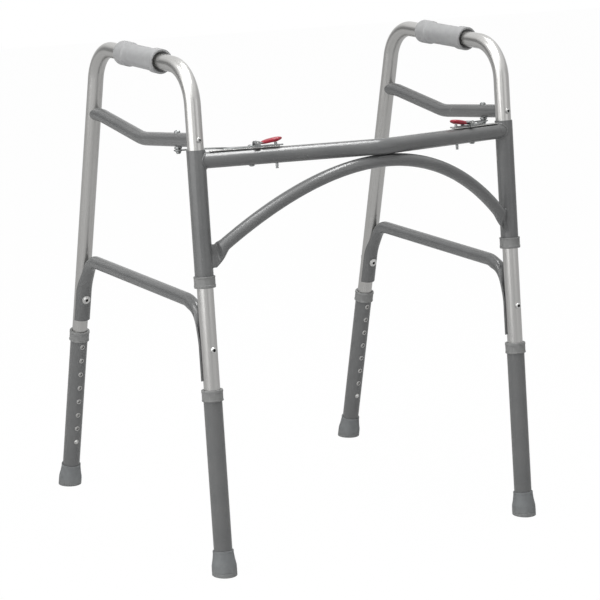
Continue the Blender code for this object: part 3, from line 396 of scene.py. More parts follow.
def finishMesh(name, bm, material, body, stands=(), matrix=None, sharp=35):
    bmesh.ops.recalc_face_normals(bm, faces=bm.faces)
    mesh = meshFrom(name, bm)
    mesh.shade_smooth()
    mesh.set_sharp_from_angle(angle=radians(sharp))
    mesh.materials.append(material)
    piece = addObject(name, mesh)
    if matrix is not None:
        piece.matrix_world = matrix
    bpy.context.view_layer.update()
    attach(piece, body)
    if stands:
        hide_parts(*stands)
    return piece


def runsAlong(path):
    # each point's distance from the first, along the path
    runs = [0.0]
    for a, b in zip(path, path[1:]):
        runs.append(runs[-1] + (b - a).length)
    return runs


def waysAlong(path, closed=False):
    # the path's direction at each point
    ways = []
    for index in range(len(path)):
        before = path[index - 1] if closed or index else path[0]
        after = path[(index + 1) % len(path)] if closed or index < len(path) - 1 else path[-1]
        ways.append((after - before).normalized())
    return ways


def skinRings(rings, wrap=False, capped=False, bm=None):
    # quads through rings of points, with a UV in metres: x round the ring, y along the rings
    bm = bm or bmesh.new()
    uvLayer = bm.loops.layers.uv.get("UVMap") or bm.loops.layers.uv.new("UVMap")
    verts = [[bm.verts.new(point) for point in ring] for ring in rings]
    count, total = len(rings[0]), len(rings)
    middles = [sum(ring, Vector()) / count for ring in rings]
    reach = max((point - middle).length for ring, middle in zip(rings, middles) for point in ring)
    runs = runsAlong([ring[0] for ring in rings + rings[:1]])
    for index in range(total if wrap else total - 1):
        near, far = verts[index], verts[(index + 1) % total]
        for k in range(count):
            j = (k + 1) % count
            face = bm.faces.new((near[k], near[j], far[j], far[k]))
            places = ((k, index), (k + 1, index), (k + 1, index + 1), (k, index + 1))
            for loop, (turn, run) in zip(face.loops, places):
                loop[uvLayer].uv = (turn / count * 2 * pi * reach, runs[run])
    if capped:
        bm.faces.new(verts[0])
        bm.faces.new(verts[-1])
    bmesh.ops.remove_doubles(bm, verts=bm.verts, dist=1e-7)
    return bm


def roundedPath(corners, radii, steps):
    path = [corners[0]]
    for index, radius in enumerate(radii, 1):
        before, corner, after = corners[index - 1:index + 2]
        into, out = (corner - before).normalized(), (after - corner).normalized()
        turn = into.angle(out)
        start = corner - into * radius * tan(turn / 2)
        centre = corner + (out - into).normalized() * radius / cos(turn / 2)
        for angle in spaced(0, turn, steps):
            path.append(centre + Matrix.Rotation(angle, 3, into.cross(out)) @ (start - centre))
    return path + [corners[-1]]


def evenPath(path, spacing):
    # the same path with points no further apart than about spacing
    points = [path[0]]
    for a, b in zip(path, path[1:]):
        parts = max(1, int((b - a).length / spacing))
        points += [a.lerp(b, part / parts) for part in range(1, parts + 1)]
    return points


def tubeRings(path, radius, count):
    rings = []
    ways = waysAlong(path)
    normal = ways[0].orthogonal().normalized()
    for index, (point, way) in enumerate(zip(path, ways)):
        if index:
            normal = ways[index - 1].rotation_difference(way) @ normal
        normal = (normal - way * normal.dot(way)).normalized()
        side = way.cross(normal)
        rings.append([point + normal * x + side * y for x, y in circle(radius, count)])
    return rings


def copeRing(ring, onward, axisPoint, axisWay, reach):
    # slides each point along the tube until it lies on a round tube of radius reach
    startBack = 0.03
    moved = []
    for point in ring:
        point = point - onward * startBack
        offset = point - axisPoint
        p = offset - axisWay * offset.dot(axisWay)
        d = onward - axisWay * onward.dot(axisWay)
        a, b, c = d.dot(d), 2 * p.dot(d), p.dot(p) - reach * reach
        root = sqrt(max(b * b - 4 * a * c, 0))
        moved.append(point + onward * ((-b - root) / (2 * a)))
    return moved


def hollowSkin(name, outer, inner, material, body, stands, sharp=35):
    finishMesh(name, skinRings(outer + inner[::-1], wrap=True), material, body, stands, sharp=sharp)


def hollowTube(name, path, radius, wall, material, body, stands, copes=(), count=48):
    outer, inner = tubeRings(path, radius, count), tubeRings(path, radius - wall, count)
    ways = (path[0] - path[1]).normalized(), (path[-1] - path[-2]).normalized()
    for cope, end, way in zip(copes, (0, -1), ways):
        for rings in (outer, inner):
            rings[end] = copeRing(rings[end], way, *cope)
    hollowSkin(name, outer, inner, material, body, stands)
    return outer


def roundCorners(corners, closed=False):
    # (x, y, fillet) corners to a smooth list of (x, y)
    points = []
    steps, total = 4, len(corners)
    for index, (x, y, fillet) in enumerate(corners):
        here = Vector((x, y))
        before, after = Vector(corners[index - 1][:2]), Vector(corners[(index + 1) % total][:2])
        inner = fillet and (closed or 0 < index < total - 1)
        into, out = (here - before).normalized(), (after - here).normalized()
        turn = into.angle(out) if inner else 0
        if turn < 0.01:
            points.append((x, y))
            continue
        longest = min((here - before).length, (after - here).length) * 0.49
        cut = min(fillet * tan(turn / 2), longest)
        a, b = here - into * cut, here + out * cut
        for t in spaced(0, 1, steps):
            points.append(tuple(a * (1 - t) ** 2 + here * 2 * t * (1 - t) + b * t * t))
    return points


def turned(name, corners, material, body, stands, matrix, count=56, closed=False, sharp=35, bent=None):
    # a profile of (radius, height, fillet) turned about Z; bent moves each point
    rings = []
    for radius, height in roundCorners(corners, closed):
        ring = [Vector((x, y, height)) for x, y in circle(radius, count)]
        rings.append([bent(point) for point in ring] if bent else ring)
    return finishMesh(name, skinRings(rings, wrap=closed), material, body, stands, matrix, sharp)


def cutFrom(piece, bm):
    # takes the shape in bm out of a piece
    cutter = addObject("cutter", meshFrom("cutter", bm))
    cut = piece.modifiers.new("cut", "BOOLEAN")
    cut.operation = "DIFFERENCE"
    cut.solver = "EXACT"
    cut.object = cutter
    shaped = evaluatedMesh(piece)
    piece.modifiers.clear()
    shaped.name = piece.data.name + "Cut"
    piece.data = shaped
    bpy.data.objects.remove(cutter, do_unlink=True)
    shaped.set_sharp_from_angle(angle=radians(35))


def rods(lines, count=24):
    # solid rods, each given by its start, its end and its radius
    bm = bmesh.new()
    for start, end, radius in lines:
        way = end - start
        bmesh.ops.create_cone(bm, cap_ends=True, segments=count, radius1=radius, radius2=radius,
                              depth=way.length, matrix=pointAlong((start + end) / 2, way.normalized()))
    return bm


def flatPlate(name, outlines, thickness, material, body, stands, matrix, bevel):
    curve = bpy.data.curves.new(name + "Outline", "CURVE")
    curve.dimensions = "2D"
    curve.fill_mode = "BOTH"
    curve.extrude = thickness / 2 - bevel
    curve.bevel_depth = bevel
    curve.bevel_resolution = 2
    curve.offset = -bevel
    for outline in outlines:
        spline = curve.splines.new("POLY")
        spline.points.add(len(outline) - 1)
        for point, (x, y) in zip(spline.points, outline):
            point.co = (x, y, 0, 1)
        spline.use_cyclic_u = True
    holder = addObject(name, curve)
    mesh = evaluatedMesh(holder)
    bpy.data.objects.remove(holder, do_unlink=True)
    bm = bmesh.new()
    bm.from_mesh(mesh)
    bmesh.ops.remove_doubles(bm, verts=bm.verts, dist=1e-6)
    return finishMesh(name, bm, material, body, stands, matrix)


crossbar = {"radius": 0.0125, "wall": 0.0015, "bow": 0.0869, "bend": 0.060, "seat": 0.0002}


def barPoint(side):
    # a hinge end of the crossbar's axis, or the bow's middle when side is 0
    return frontPlane(side * layout["halfSpread"], 0 if side else -crossbar["bow"], 0)


def sleeveCope(side):
    # the leg's axis and the radius at which a tube ends in the sleeve's paint
    return frontLeg(side, layout["barHeight"]), frontUp, layout["outerRadius"] - crossbar["seat"]


def makeCrossbar():
    corners = [barPoint(side) for side in (-1, 0, 1)]
    path = evenPath(roundedPath(corners, [crossbar["bend"]], 16), 0.02)
    return hollowTube("crossbar_tube", path, crossbar["radius"], crossbar["wall"], greyPaint,
                      "front_frame", ["crossbar"], [sleeveCope(-1), sleeveCope(1)], 56)


arch = {"radius": 0.0100, "wall": 0.0015, "springDrop": 0.1565, "contactLean": radians(13.7),
        "pressStart": 0.0320, "pressFull": 0.0140, "tabEnd": 0.0160, "taller": 1.86, "narrower": 0.2,
        "tabDrop": 0.0048, "tabHalf": 0.0036, "dish": 0.0036, "pinchStart": 0.0250, "pinchFull": 0.0195}


def archPath(steps):
    half = layout["halfSpread"]
    apex = crossbar["bow"] - crossbar["bend"] * (hypot(half, crossbar["bow"]) / half - 1)
    spacing = crossbar["radius"] + arch["radius"] + layout["gap"]
    lean = arch["contactLean"]
    crown = Vector((0, spacing * sin(lean) - apex, -spacing * cos(lean)))
    spring = Vector((0, 0, -arch["springDrop"]))
    places = [spring + across * half * share + (crown - spring) * (1 - share ** 2)
              for share in spaced(-1, 1, steps)]
    return [frontPlane(*place) for place in places]


def pressEnd(ring, centre, way, press, pinch):
    # spreads one ring upright, then pinches it into a thin tab set back from the tube's front
    a = arch
    flat = way.cross(frontUp).normalized()
    up = flat.cross(way).normalized()
    flat = flat if flat.dot(frontOut) > 0 else -flat
    up = up if up.dot(frontUp) > 0 else -up
    endUp, endFlat = up.lerp(frontUp, press).normalized(), flat.lerp(frontOut, press).normalized()
    moved = []
    own = (ring[0] - centre).length
    for point in ring:
        high, wide = (point - centre).dot(up), (point - centre).dot(flat)
        share = high / own
        face = a["tabHalf"] * own / a["radius"] * sqrt(max(0.0, 1 - share ** 4)) * (1 if wide > 0 else -1)
        dished = face - a["dish"] * (1 - share ** 2)
        wide *= 1 - a["narrower"] * press
        wide += (dished - wide) * pinch
        high *= 1 + (a["taller"] - 1) * press
        moved.append(centre + endUp * (high - a["tabDrop"] * press) + endFlat * wide)
    return moved


def makeArch():
    a = arch
    half = layout["halfSpread"]
    path = []
    for index, point in enumerate(archPath(720)):    # every point at the pressed ends, every fourth between
        near = half - abs(point.x)
        if near > a["tabEnd"] and (index % 4 == 0 or near < a["pressStart"] + 0.002):
            path.append(point)
    ways = waysAlong(path)
    skins = []
    for radius in (a["radius"], a["radius"] - a["wall"]):
        rings = tubeRings(path, radius, 48)
        for index, (point, way) in enumerate(zip(path, ways)):
            near = half - abs(point.x)
            press = eased(near, a["pressStart"], a["pressFull"])
            if press > 0:
                pinch = eased(near, a["pinchStart"], a["pinchFull"])
                rings[index] = pressEnd(rings[index], point, way, press, pinch)
        ends = [copeRing(rings[end], across * side, *sleeveCope(side)) for side, end in ((-1, 0), (1, -1))]
        skins.append([ends[0]] + rings + [ends[1]])
    hollowSkin("arch_tube", *skins, greyPaint, "front_frame", ["arch_brace"])
    return skins[0]


weld = {"radius": 0.0016, "ripple": 0.00010, "pitch": 0.0030, "step": 0.0006, "seamHalf": 0.022}


def makeWeld(name, line, closed=True, size=1.0):
    # a rippled bead that follows a seam
    w = weld
    line = line + (line[:1] if closed else [])
    spine = evenPath(line, w["step"])[:-1]
    waves = max(4, round(runsAlong(line)[-1] / w["pitch"]))
    ways = waysAlong(spine, closed)
    normal = ways[0].orthogonal()
    rings = []
    for index, (point, way) in enumerate(zip(spine, ways)):
        normal = (normal - way * normal.dot(way)).normalized()
        side = way.cross(normal)
        swell = w["radius"] + w["ripple"] * abs(sin(pi * waves * index / len(spine)))
        swell += w["ripple"] * noise.noise(point * 300)
        if not closed:
            swell *= sqrt(max(0.02, 1 - (2 * index / (len(spine) - 1) - 1) ** 6))
        rings.append([point + normal * x + side * y for x, y in circle(swell * size, 10)])
    finishMesh(name, skinRings(rings, wrap=closed, capped=not closed), greyPaint, "front_frame", sharp=60)


def makeFrontFrame():
    barRings, archRings = makeCrossbar(), makeArch()
    for sideName, end in (("left", 0), ("right", -1)):
        makeWeld(sideName + "_bar_weld", barRings[end])
        makeWeld(sideName + "_arch_weld", archRings[end], size=0.5)
    # short beads in the two valleys where the arch touches the crossbar
    path = archPath(72)
    middle = [p for p in path if abs(p.x) < weld["seamHalf"]]
    toArch = (path[36] - barPoint(0)).normalized()
    for label, way in (("front", 1), ("rear", -1)):
        square = across.cross(toArch) * way
        line = [p + (square * 0.52 - toArch * 0.86) * arch["radius"] for p in middle]
        makeWeld("arch_seam_" + label, line, closed=False)


collar = {"radius": 0.0170, "length": 0.0178, "lip": 0.0035, "bore": 0.0132, "socket": 0.0148,
          "ridge": 0.0042}


def makeCollar(name, body, stands, matrix):
    c = collar
    rim, end, ridge = c["radius"], -c["length"], -c["ridge"]
    corners = [(c["bore"], 0, 0.0004), (rim - 0.0002, 0, 0.0011), (rim, ridge, 0.0006),
               (rim - 0.0005, ridge - 0.0005, 0.0004), (rim - 0.0005, end + 0.0026, 0.0004),
               (rim - 0.0001, end + 0.0021, 0.0004), (rim - 0.0001, end, 0.0006),
               (c["socket"], end, 0.0003), (c["socket"], -c["lip"], 0), (c["bore"], -c["lip"], 0.0003)]
    turned(name, corners, collarPlastic, body, stands, matrix, closed=True)


def sleeveWall(top, bottom, steps, edge):
    # the outer face of a sleeve, with both edges rounded
    return [(layout["outerRadius"], height, edge if step in (0, steps) else 0)
            for step, height in enumerate(spaced(top, bottom, steps))]


sleeve = {"topAboveBar": 0.0167, "bushBottom": 0.4441, "bore": 0.0131, "edge": 0.0005}


def makeSleeve(side, sideName):
    s = sleeve
    top = s["topAboveBar"]
    bushBottom = (s["bushBottom"] - layout["barHeight"]) / cos(layout["frontLean"])
    bottom = bushBottom + collar["lip"] + layout["gap"]
    matrix = pointAlong(frontLeg(side, layout["barHeight"]), frontUp)
    corners = sleeveWall(top, bottom, 12, s["edge"])
    corners += [(s["bore"], bottom, 0.0002), (s["bore"], top, s["edge"])]
    turned(sideName + "_hinge_sleeve", corners, greyPaint, "front_frame", [sideName + "_sleeve"], matrix,
           closed=True)
    flip = matrix @ Matrix.Translation((0, 0, bushBottom)) @ Matrix.Rotation(pi, 4, "X")
    makeCollar(sideName + "_sleeve_collar", "front_frame", [sideName + "_sleeve_bush"], flip)


makeFrontFrame()
for side, sideName in sides:
    makeSleeve(side, sideName)
print("front frame made")


sideTube = {"wall": 0.0014, "bend": 0.0635, "end": 0.060}


def makeSideTube(side, sideName):
    s = sideTube
    handle = layout["handleHeight"]
    corners = [frontLeg(side, 0) + frontUp * s["end"], frontLeg(side, handle), rearLeg(side, handle),
               rearLeg(side, 0) + rearUp * s["end"]]
    path = evenPath(roundedPath(corners, [s["bend"]] * 2, 28), 0.02)
    hollowTube(sideName + "_leg_tube", path, layout["tubeRadius"], s["wall"], aluminium,
               sideName + "_side", [sideName + "_side_tube"], count=56)


grip = {"length": 0.1280, "body": 0.0174, "rim": 0.0195, "rearRim": 0.0240, "frontRim": 0.0180,
        "step": 0.0022, "rounding": 0.0024, "soft": 0.0016, "bore": 0.0130, "mouth": 0.0060,
        "mouthBore": 0.0158}


def makeGrip(side, sideName):
    g = grip
    half, rim, soft = g["length"] / 2, g["rim"], g["soft"]
    low, high = g["rearRim"] - half, half - g["frontRim"]
    mouth = [(g["bore"], half - g["mouth"], 0.0003), (g["mouthBore"], half - g["mouth"], 0.0004),
             (g["mouthBore"], half, 0.0009)]
    heights = spaced(high - g["step"], low + g["step"], 8)
    corners = mouth + [(rim, half, g["rounding"]), (rim, high, soft), (g["body"], heights[0], soft)]
    corners += [(g["body"], height, 0) for height in heights[1:-1]]
    corners += [(g["body"], heights[-1], soft), (rim, low, soft), (rim, -half, g["rounding"])]
    corners += [(radius, -height, fillet) for radius, height, fillet in mouth[::-1]]
    middle = (frontLeg(side, layout["handleHeight"]) + rearLeg(side, layout["handleHeight"])) / 2
    turned(sideName + "_hand_grip", corners, gripVinyl, sideName + "_side", [sideName + "_grip"],
           pointAlong(middle, Vector((0, -1, 0))), closed=True, sharp=50)


upperBrace = {"frontHeight": 0.66756, "frontRun": 0.170, "rearHeight": 0.66476, "rearRun": 0.034,
              "radius": 0.0108, "wall": 0.0012, "frontBend": 0.110, "rearBend": 0.055, "seat": 0.0001}


def makeUpperBrace(side, sideName):
    b = upperBrace
    front, rear = frontLeg(side, b["frontHeight"]), rearLeg(side, b["rearHeight"])
    corners = [front, front - frontOut * b["frontRun"], rear - Vector((0, b["rearRun"], 0)), rear]
    path = evenPath(roundedPath(corners, [b["frontBend"], b["rearBend"]], 14), 0.02)
    reach = layout["tubeRadius"] - b["seat"]
    hollowTube(sideName + "_dipped_brace", path, b["radius"], b["wall"], greyPaint, sideName + "_side",
               [sideName + "_upper_brace"], [(front, frontUp, reach), (rear, rearUp, reach)], 44)


lowerBrace = {"height": 0.4147, "radius": 0.0105, "wall": 0.0012, "frontBend": 0.045, "rearBend": 0.027,
              "frontEnd": 0.3015, "rearEnd": 0.3075, "halfAngle": radians(66), "seam": 0.0004,
              "legGap": 0.0004, "formed": 0.0500, "roundAt": 0.72, "loopPoints": 40}


def channelReach():
    # from a leg's axis to the outside of a brace's pressed end
    return layout["tubeRadius"] + lowerBrace["legGap"] + 2 * lowerBrace["wall"] + lowerBrace["seam"]


def channelSection(inset, blend, away, centre, legPoint):
    # one loop of the lower brace: a round tube blended with a channel pressed round the leg
    b = lowerBrace
    count = b["loopPoints"]
    inner = layout["tubeRadius"] + b["legGap"] + inset
    outer = channelReach() - inset
    edge = b["halfAngle"] - inset / inner
    half = count // 2
    points = []
    for step in range(count):
        swing = 2 * pi * (step + 0.5) / count - pi / 2
        roundPoint = centre + (away * cos(swing) + across * sin(swing)) * (b["radius"] - inset)
        share = (step % half) / (half - 1) * 2 - 1
        angle, radius = (edge * share, outer) if step < half else (-edge * share, inner)
        pressed = legPoint + (away * cos(angle) + across * sin(angle)) * radius
        points.append(roundPoint.lerp(pressed, blend))
    return points


def makeLowerBrace(side, sideName):
    b = lowerBrace
    standOff = layout["tubeRadius"] + b["legGap"] + b["radius"]
    steps = 14
    corners, legEnds = [], []
    for legPoint, out, up in ((rearLeg(side, b["rearEnd"]), rearOut, rearUp),
                              (frontLeg(side, b["frontEnd"]), frontOut, frontUp)):
        start = legPoint - out * standOff
        corners.append([start, start + up * ((b["height"] - start.z) / up.z)])
        legEnds.append((legPoint, up))
    corners = corners[0] + corners[1][::-1]
    bends = roundedPath(corners, [b["rearBend"], b["frontBend"]], steps)
    path = evenPath(bends, 0.004)
    runs = runsAlong(path)
    # where each end is round again, measured from that end
    firstTurn, lastTurn = bends[:steps + 2], bends[:steps + 1:-1]
    lasts = []
    for turn in (firstTurn, lastTurn):
        straight = (turn[1] - turn[0]).length
        lasts.append(straight + runsAlong(turn[1:])[-1] * b["roundAt"])
    outside, inside = [], []
    for centre, way, run in zip(path, waysAlong(path), runs):
        away = across.cross(way)
        which = 0 if run < runs[-1] / 2 else 1
        run = runs[-1] - run if which else run
        blend = 1 - eased(run, b["formed"], lasts[which])
        legPoint = centre
        if blend > 0:
            legStart, legUp = legEnds[which]
            offset = legStart - centre
            reach = (offset.y * legUp.z - offset.z * legUp.y) / (away.y * legUp.z - away.z * legUp.y)
            legPoint = centre + away * reach
        outside.append(channelSection(0, blend, away, centre, legPoint))
        inside.append(channelSection(b["wall"], blend, away, centre, legPoint))
    hollowSkin(sideName + "_pressed_brace", outside, inside, greyPaint, sideName + "_side",
               [sideName + "_lower_brace"], 40)


for side, sideName in sides:
    makeSideTube(side, sideName)
    makeGrip(side, sideName)
    makeUpperBrace(side, sideName)
    makeLowerBrace(side, sideName)
print("side frames made")


screw = {"head": 0.0044, "height": 0.0024, "shank": 0.0026, "reach": 0.0110, "socket": 0.0021,
         "socketDepth": 0.0012}


def cutSocket(piece, matrix, top, floor, radius):
    # a hexagon socket, its inside given near-black steel as painted shade in the recess
    cutFrom(piece, rods([(matrix @ Vector((0, 0, top + 0.001)), matrix @ Vector((0, 0, floor)), radius)], 6))
    # faces inside the socket take the near-black steel: painted shade
    piece.data.materials.append(socketShadeSteel)
    for face in piece.data.polygons:
        if hypot(face.center.x, face.center.y) < radius and floor - 0.0001 < face.center.z < top:
            face.material_index = 1


def makeScrew(name, body, node, origin, out):
    s = screw
    matrix = pointAlong(origin, out)
    head, height, shank = s["head"], s["height"], s["shank"]
    end = -2 * layout["tubeRadius"] - layout["gap"] - s["reach"]
    corners = [(0, height, 0), (head * 0.55, height, 0.0012), (head, height * 0.62, 0.0010),
               (head, 0, 0.0002), (shank, 0, 0), (shank, end, 0), (0, end, 0)]
    piece = turned(name, corners, screwSteel, body, [node], matrix, 32)
    cutSocket(piece, matrix, height, -s["socketDepth"], s["socket"])


bolt = {"head": 0.0048, "height": 0.0032, "shank": 0.0030, "nut": 0.0050, "nutHeight": 0.0045,
        "washer": 0.0072, "washerThickness": 0.0012, "socket": 0.0025, "socketDepth": 0.0022,
        "frontHeight": 0.3495, "rearHeight": 0.3460}


def makeLowerBolt(name, body, node, origin, out, washer):
    b = bolt
    head, height, shank = b["head"], b["height"], b["shank"]
    grasp = channelReach() + layout["tubeRadius"] + 2 * layout["gap"]
    end = -grasp - b["nutHeight"] * 1.4
    corners = [(0, height, 0), (head * 0.6, height * 0.96, 0.0012), (head, height * 0.5, 0.0010)]
    if washer:
        corners += [(head, b["washerThickness"], 0.0003), (b["washer"], b["washerThickness"], 0.0004),
                    (b["washer"], 0, 0.0002)]
    else:
        corners += [(head, 0, 0.0002)]
    corners += [(shank, 0, 0), (shank, end, 0.0006), (0, end, 0)]
    matrix = pointAlong(origin, out)
    piece = turned(name, corners, brightSteel, body, [node], matrix, 36)
    cutSocket(piece, matrix, height, height - b["socketDepth"], b["socket"])
    # hexagon nut on the far side
    outlines = [circle(b["nut"], 6, start=pi / 6), circle(shank, 16)]
    nutPlace = matrix @ Matrix.Translation((0, 0, -grasp - b["nutHeight"] / 2))
    flatPlate(name + "_nut", outlines, b["nutHeight"], brightSteel, body, [], nutPlace, 0.0004)


for side, sideName in sides:
    body = sideName + "_side"
    tubeSeat, channelSeat = layout["tubeRadius"] + layout["gap"], channelReach() + layout["gap"]
    for end, leg, out in (("front", frontLeg, frontOut), ("rear", rearLeg, rearOut)):
        makeScrew(f"{sideName}_{end}_screw", body, f"{sideName}_upper_{end}_screw",
                  leg(side, upperBrace[end + "Height"]) + out * tubeSeat, out)
    for end, leg, out, seat in (("front", frontLeg, frontOut, tubeSeat),
                                ("rear", rearLeg, -rearOut, channelSeat)):
        makeLowerBolt(f"{sideName}_{end}_bolt", body, f"{sideName}_lower_{end}_bolt",
                      leg(side, bolt[end + "Height"]) + out * seat, out, end == "rear")
print("screws and bolts made")


legParts = {"top": 0.2905, "start": 0.0100, "bore": 0.0131, "edge": 0.0003, "holePitch": 0.0254, "holes": 8,
            "topHole": 0.2638, "holeRadius": 0.0029, "holeEdge": 0.0007}
tip = {"top": 0.0388, "topRadius": 0.0164, "footRadius": 0.0198, "flare": 0.0150, "floor": 0.0090,
       "fit": 0.0002, "groove": 0.0044, "sunk": 0.0060}
button = {"radius": 0.0027, "proud": 0.0016, "foot": 0.0090}


def holeHeights():
    return [legParts["topHole"] - legParts["holePitch"] * hole for hole in range(legParts["holes"])]


def makeHoleEdges(name, body, matrix, holeSide):
    # the punched rim of each height hole, rubbed back to bare metal
    wide, outer, rise = legParts["holeEdge"], layout["outerRadius"], 0.0003
    middle = legParts["holeRadius"] + wide * 0.8
    joined = bmesh.new()
    for height in holeHeights():
        rings = []
        for turnX, turnZ in circle(1, 28):
            ring = []
            for out, lift in circle(1, 8):
                x, z = turnX * (middle + wide * out), turnZ * (middle + wide * out)
                y = sqrt(outer ** 2 - x ** 2) + rise * lift
                ring.append(matrix @ Vector((x, holeSide * y, height + z)))
            rings.append(ring)
        skinRings(rings, wrap=True, bm=joined)
    finishMesh(name + "_hole_edges", joined, aluminium, body, sharp=60)


def makeFootTip(name, body, foot, lean):
    # modelled upright and then leant with its leg, so that its foot stays level
    def settle(point):
        world, legUp = lean @ point, lean @ Vector((0, 0, 1))
        return world - legUp * (min(world.z, 0) / legUp.z)

    t = tip
    inner, rim, wide, top = layout["outerRadius"] + t["fit"], t["topRadius"], t["footRadius"], t["top"]
    corners = [(inner, top, 0.0004), (rim, top, 0.0009), (rim, top - 0.0032, 0.0005),
               (rim - 0.0002, top - 0.0036, 0.0004), (rim + 0.0010, top * 0.66, 0.004),
               (wide - 0.0003, t["flare"], 0.004), (wide - 0.0001, t["groove"] + 0.0008, 0.0006),
               (wide - 0.0006, t["groove"], 0.0003), (wide - 0.0001, t["groove"] - 0.0008, 0.0006),
               (wide - 0.0002, -t["sunk"], 0), (0, -t["sunk"], 0), (0, t["floor"], 0), (inner, t["floor"], 0)]
    turned(name + "_foot_tip", corners, tipRubber, body, [name + "_tip"], Matrix.Translation(foot),
           closed=True, bent=settle)


def makeLeg(name, foot, up, holeSide):
    body = name + "_foot"
    matrix = frameFrom(foot, across, up)
    p = legParts
    top = p["top"] - collar["lip"] - layout["gap"]
    corners = sleeveWall(top, p["start"], 14, p["edge"]) + [(p["bore"], p["start"], 0), (p["bore"], top, 0)]
    piece = turned(name + "_leg_sleeve", corners, greyPaint, body, [name + "_extension"], matrix, 64,
                   closed=True)
    cutFrom(piece, rods([(matrix @ Vector((0, holeSide * 0.008, height)),
                          matrix @ Vector((0, holeSide * 0.019, height)), p["holeRadius"])
                         for height in holeHeights()]))
    makeHoleEdges(name, body, matrix, holeSide)
    makeCollar(name + "_leg_collar", body, [name + "_collar"], matrix @ Matrix.Translation((0, 0, p["top"])))
    makeFootTip(name, body, foot, matrix.to_3x3())

    r, low, proud = button["radius"], button["foot"], layout["outerRadius"] + button["proud"]
    dome = [(0, proud, 0), (r * 0.7, proud - 0.0002, 0.001), (r, proud - 0.0012, 0.0008), (r, low, 0),
            (0, low, 0)]
    outward = (matrix.to_3x3() @ Vector((0, holeSide, 0))).normalized()
    turned(name + "_button_cap", dome, brightSteel, name + "_button", [name + "_snap_button"],
           pointAlong(matrix @ Vector((0, 0, holeHeights()[-1])), outward), 32)


for side, sideName in sides:
    makeLeg(sideName + "_front", frontLeg(side, 0), frontUp, 1)
    makeLeg(sideName + "_rear", rearLeg(side, 0), rearUp, -1)
print("legs made")


# the places called At lie along the crossbar, measured from the hinge
lock = {"foldLimit": radians(88), "linkTurn": radians(12), "boltRadius": 0.0555, "rivetAt": 0.0856,
        "pinAt": 0.1250, "pivotAt": 0.0950, "linkThickness": 0.0020, "linkHalf": 0.0072, "armHalf": 0.0058,
        "armBeyond": 0.0060, "slotHalf": 0.00345, "notchHalf": 0.0035, "bracketThickness": 0.0012,
        "pivotRise": 0.0062, "rivetHole": 0.0028, "pinHole": 0.0026, "axleHole": 0.0018,
        "pinRadius": 0.0023, "pinShows": 0.0080, "rivetHead": 0.0046, "rivetRise": 0.0020,
        "rivetShank": 0.0025, "axle": 0.0015}
bracket = {"start": 0.0210, "end": 0.1310, "half": 0.0066, "earHalf": 0.0042, "earOut": 0.0102,
           "earTop": 0.0034}
leverTip = {"start": 0.0050, "end": 0.0400, "half": 0.0088, "below": 0.0030, "above": 0.0042,
            "rise": radians(5.6), "eye": 0.0031, "sweep": 0.0008, "lip": (0.0100, 0.0340), "lipHalf": 0.0070,
            "lipThick": 0.0016, "lipDrop": 0.0018, "strip": 0.0016, "stripHalf": 0.0060, "stripIn": 0.010}
bracketLow = crossbar["radius"] + layout["gap"]      # heights above the crossbar's axis
bracketTop = bracketLow + lock["bracketThickness"]
linkLow = bracketTop + layout["gap"]
linkTop = linkLow + lock["linkThickness"]
pivotHeight = bracketTop + lock["pivotRise"]


def barFrame(side):
    # x along the crossbar from the hinge, z up the front legs
    return frameFrom(barPoint(side), barPoint(0) - barPoint(side), frontUp)


def stripOutline(spine, halves):
    # a strip round a line of flat points, with round ends
    squares = [Vector((-way.y, way.x)) * half for way, half in zip(waysAlong(spine), halves)]
    left = [tuple(point + square) for point, square in zip(spine, squares)]
    right = [tuple(point - square) for point, square in zip(spine, squares)]

    def cap(end, inward, radius):
        away = atan2(end.y - inward.y, end.x - inward.x)
        return [(end.x + radius * cos(turn), end.y + radius * sin(turn))
                for turn in spaced(away + pi / 2, away - pi / 2, 8)[1:-1]]
    return left + cap(spine[-1], spine[-2], halves[-1]) + right[::-1] + cap(spine[0], spine[1], halves[0])


def makeLink(side, sideName):
    # the slot follows the bolt as the side frame folds and the link turns with it
    k = lock
    half, bow = layout["halfSpread"], crossbar["bow"]
    inward = Vector((half, -bow)).normalized()
    slot = []
    for share in spaced(1, 0, 20):
        fold = k["foldLimit"] * share
        reach = Vector((sin(fold), cos(fold))) * k["boltRadius"] - inward * k["rivetAt"]
        slot.append(Matrix.Rotation(k["linkTurn"] * share, 2) @ reach)
    armEnd = inward * (k["pinAt"] - k["rivetAt"] + k["armBeyond"])
    spine = [armEnd, armEnd * 0.5, Vector((0, 0)), slot[0] * 0.5] + slot
    halves = [k["armHalf"], k["armHalf"], k["armHalf"] * 1.1] + [k["linkHalf"]] * (len(slot) + 1)
    lines = [stripOutline(spine, halves), stripOutline(slot, [k["slotHalf"]] * len(slot)),
             circle(k["rivetHole"], 20)]
    outlines = [[(-side * x, y) for x, y in line] for line in lines]
    centre = barFrame(side) @ Vector((k["rivetAt"], 0, (linkLow + linkTop) / 2))
    piece = flatPlate(sideName + "_slotted_link", outlines, k["linkThickness"], linkSteel, sideName + "_link",
                      [sideName + "_lock_link"], frameFrom(centre, across, frontUp), 0.0003)
    # notch for the pin, open towards the back
    notch = barFrame(side) @ Matrix.Translation((k["pinAt"], -side * (0.0066 - k["pinRadius"]), linkLow))
    bm = bmesh.new()
    bmesh.ops.create_cube(bm, size=1, matrix=notch @ Matrix.Diagonal((2 * k["notchHalf"], 0.0144, 0.02, 1)))
    cutFrom(piece, bm)


def softRings(matrix, stations, power):
    # rings of rounded oblongs: each station is a place along the lever, a height and two halves
    def soft(value, half):
        return half * abs(value) ** power * (1 if value > 0 else -1)
    return [[matrix @ Vector((x, soft(c, wide), middle + soft(s, high))) for c, s in circle(1, 32)]
            for x, middle, wide, high in stations]


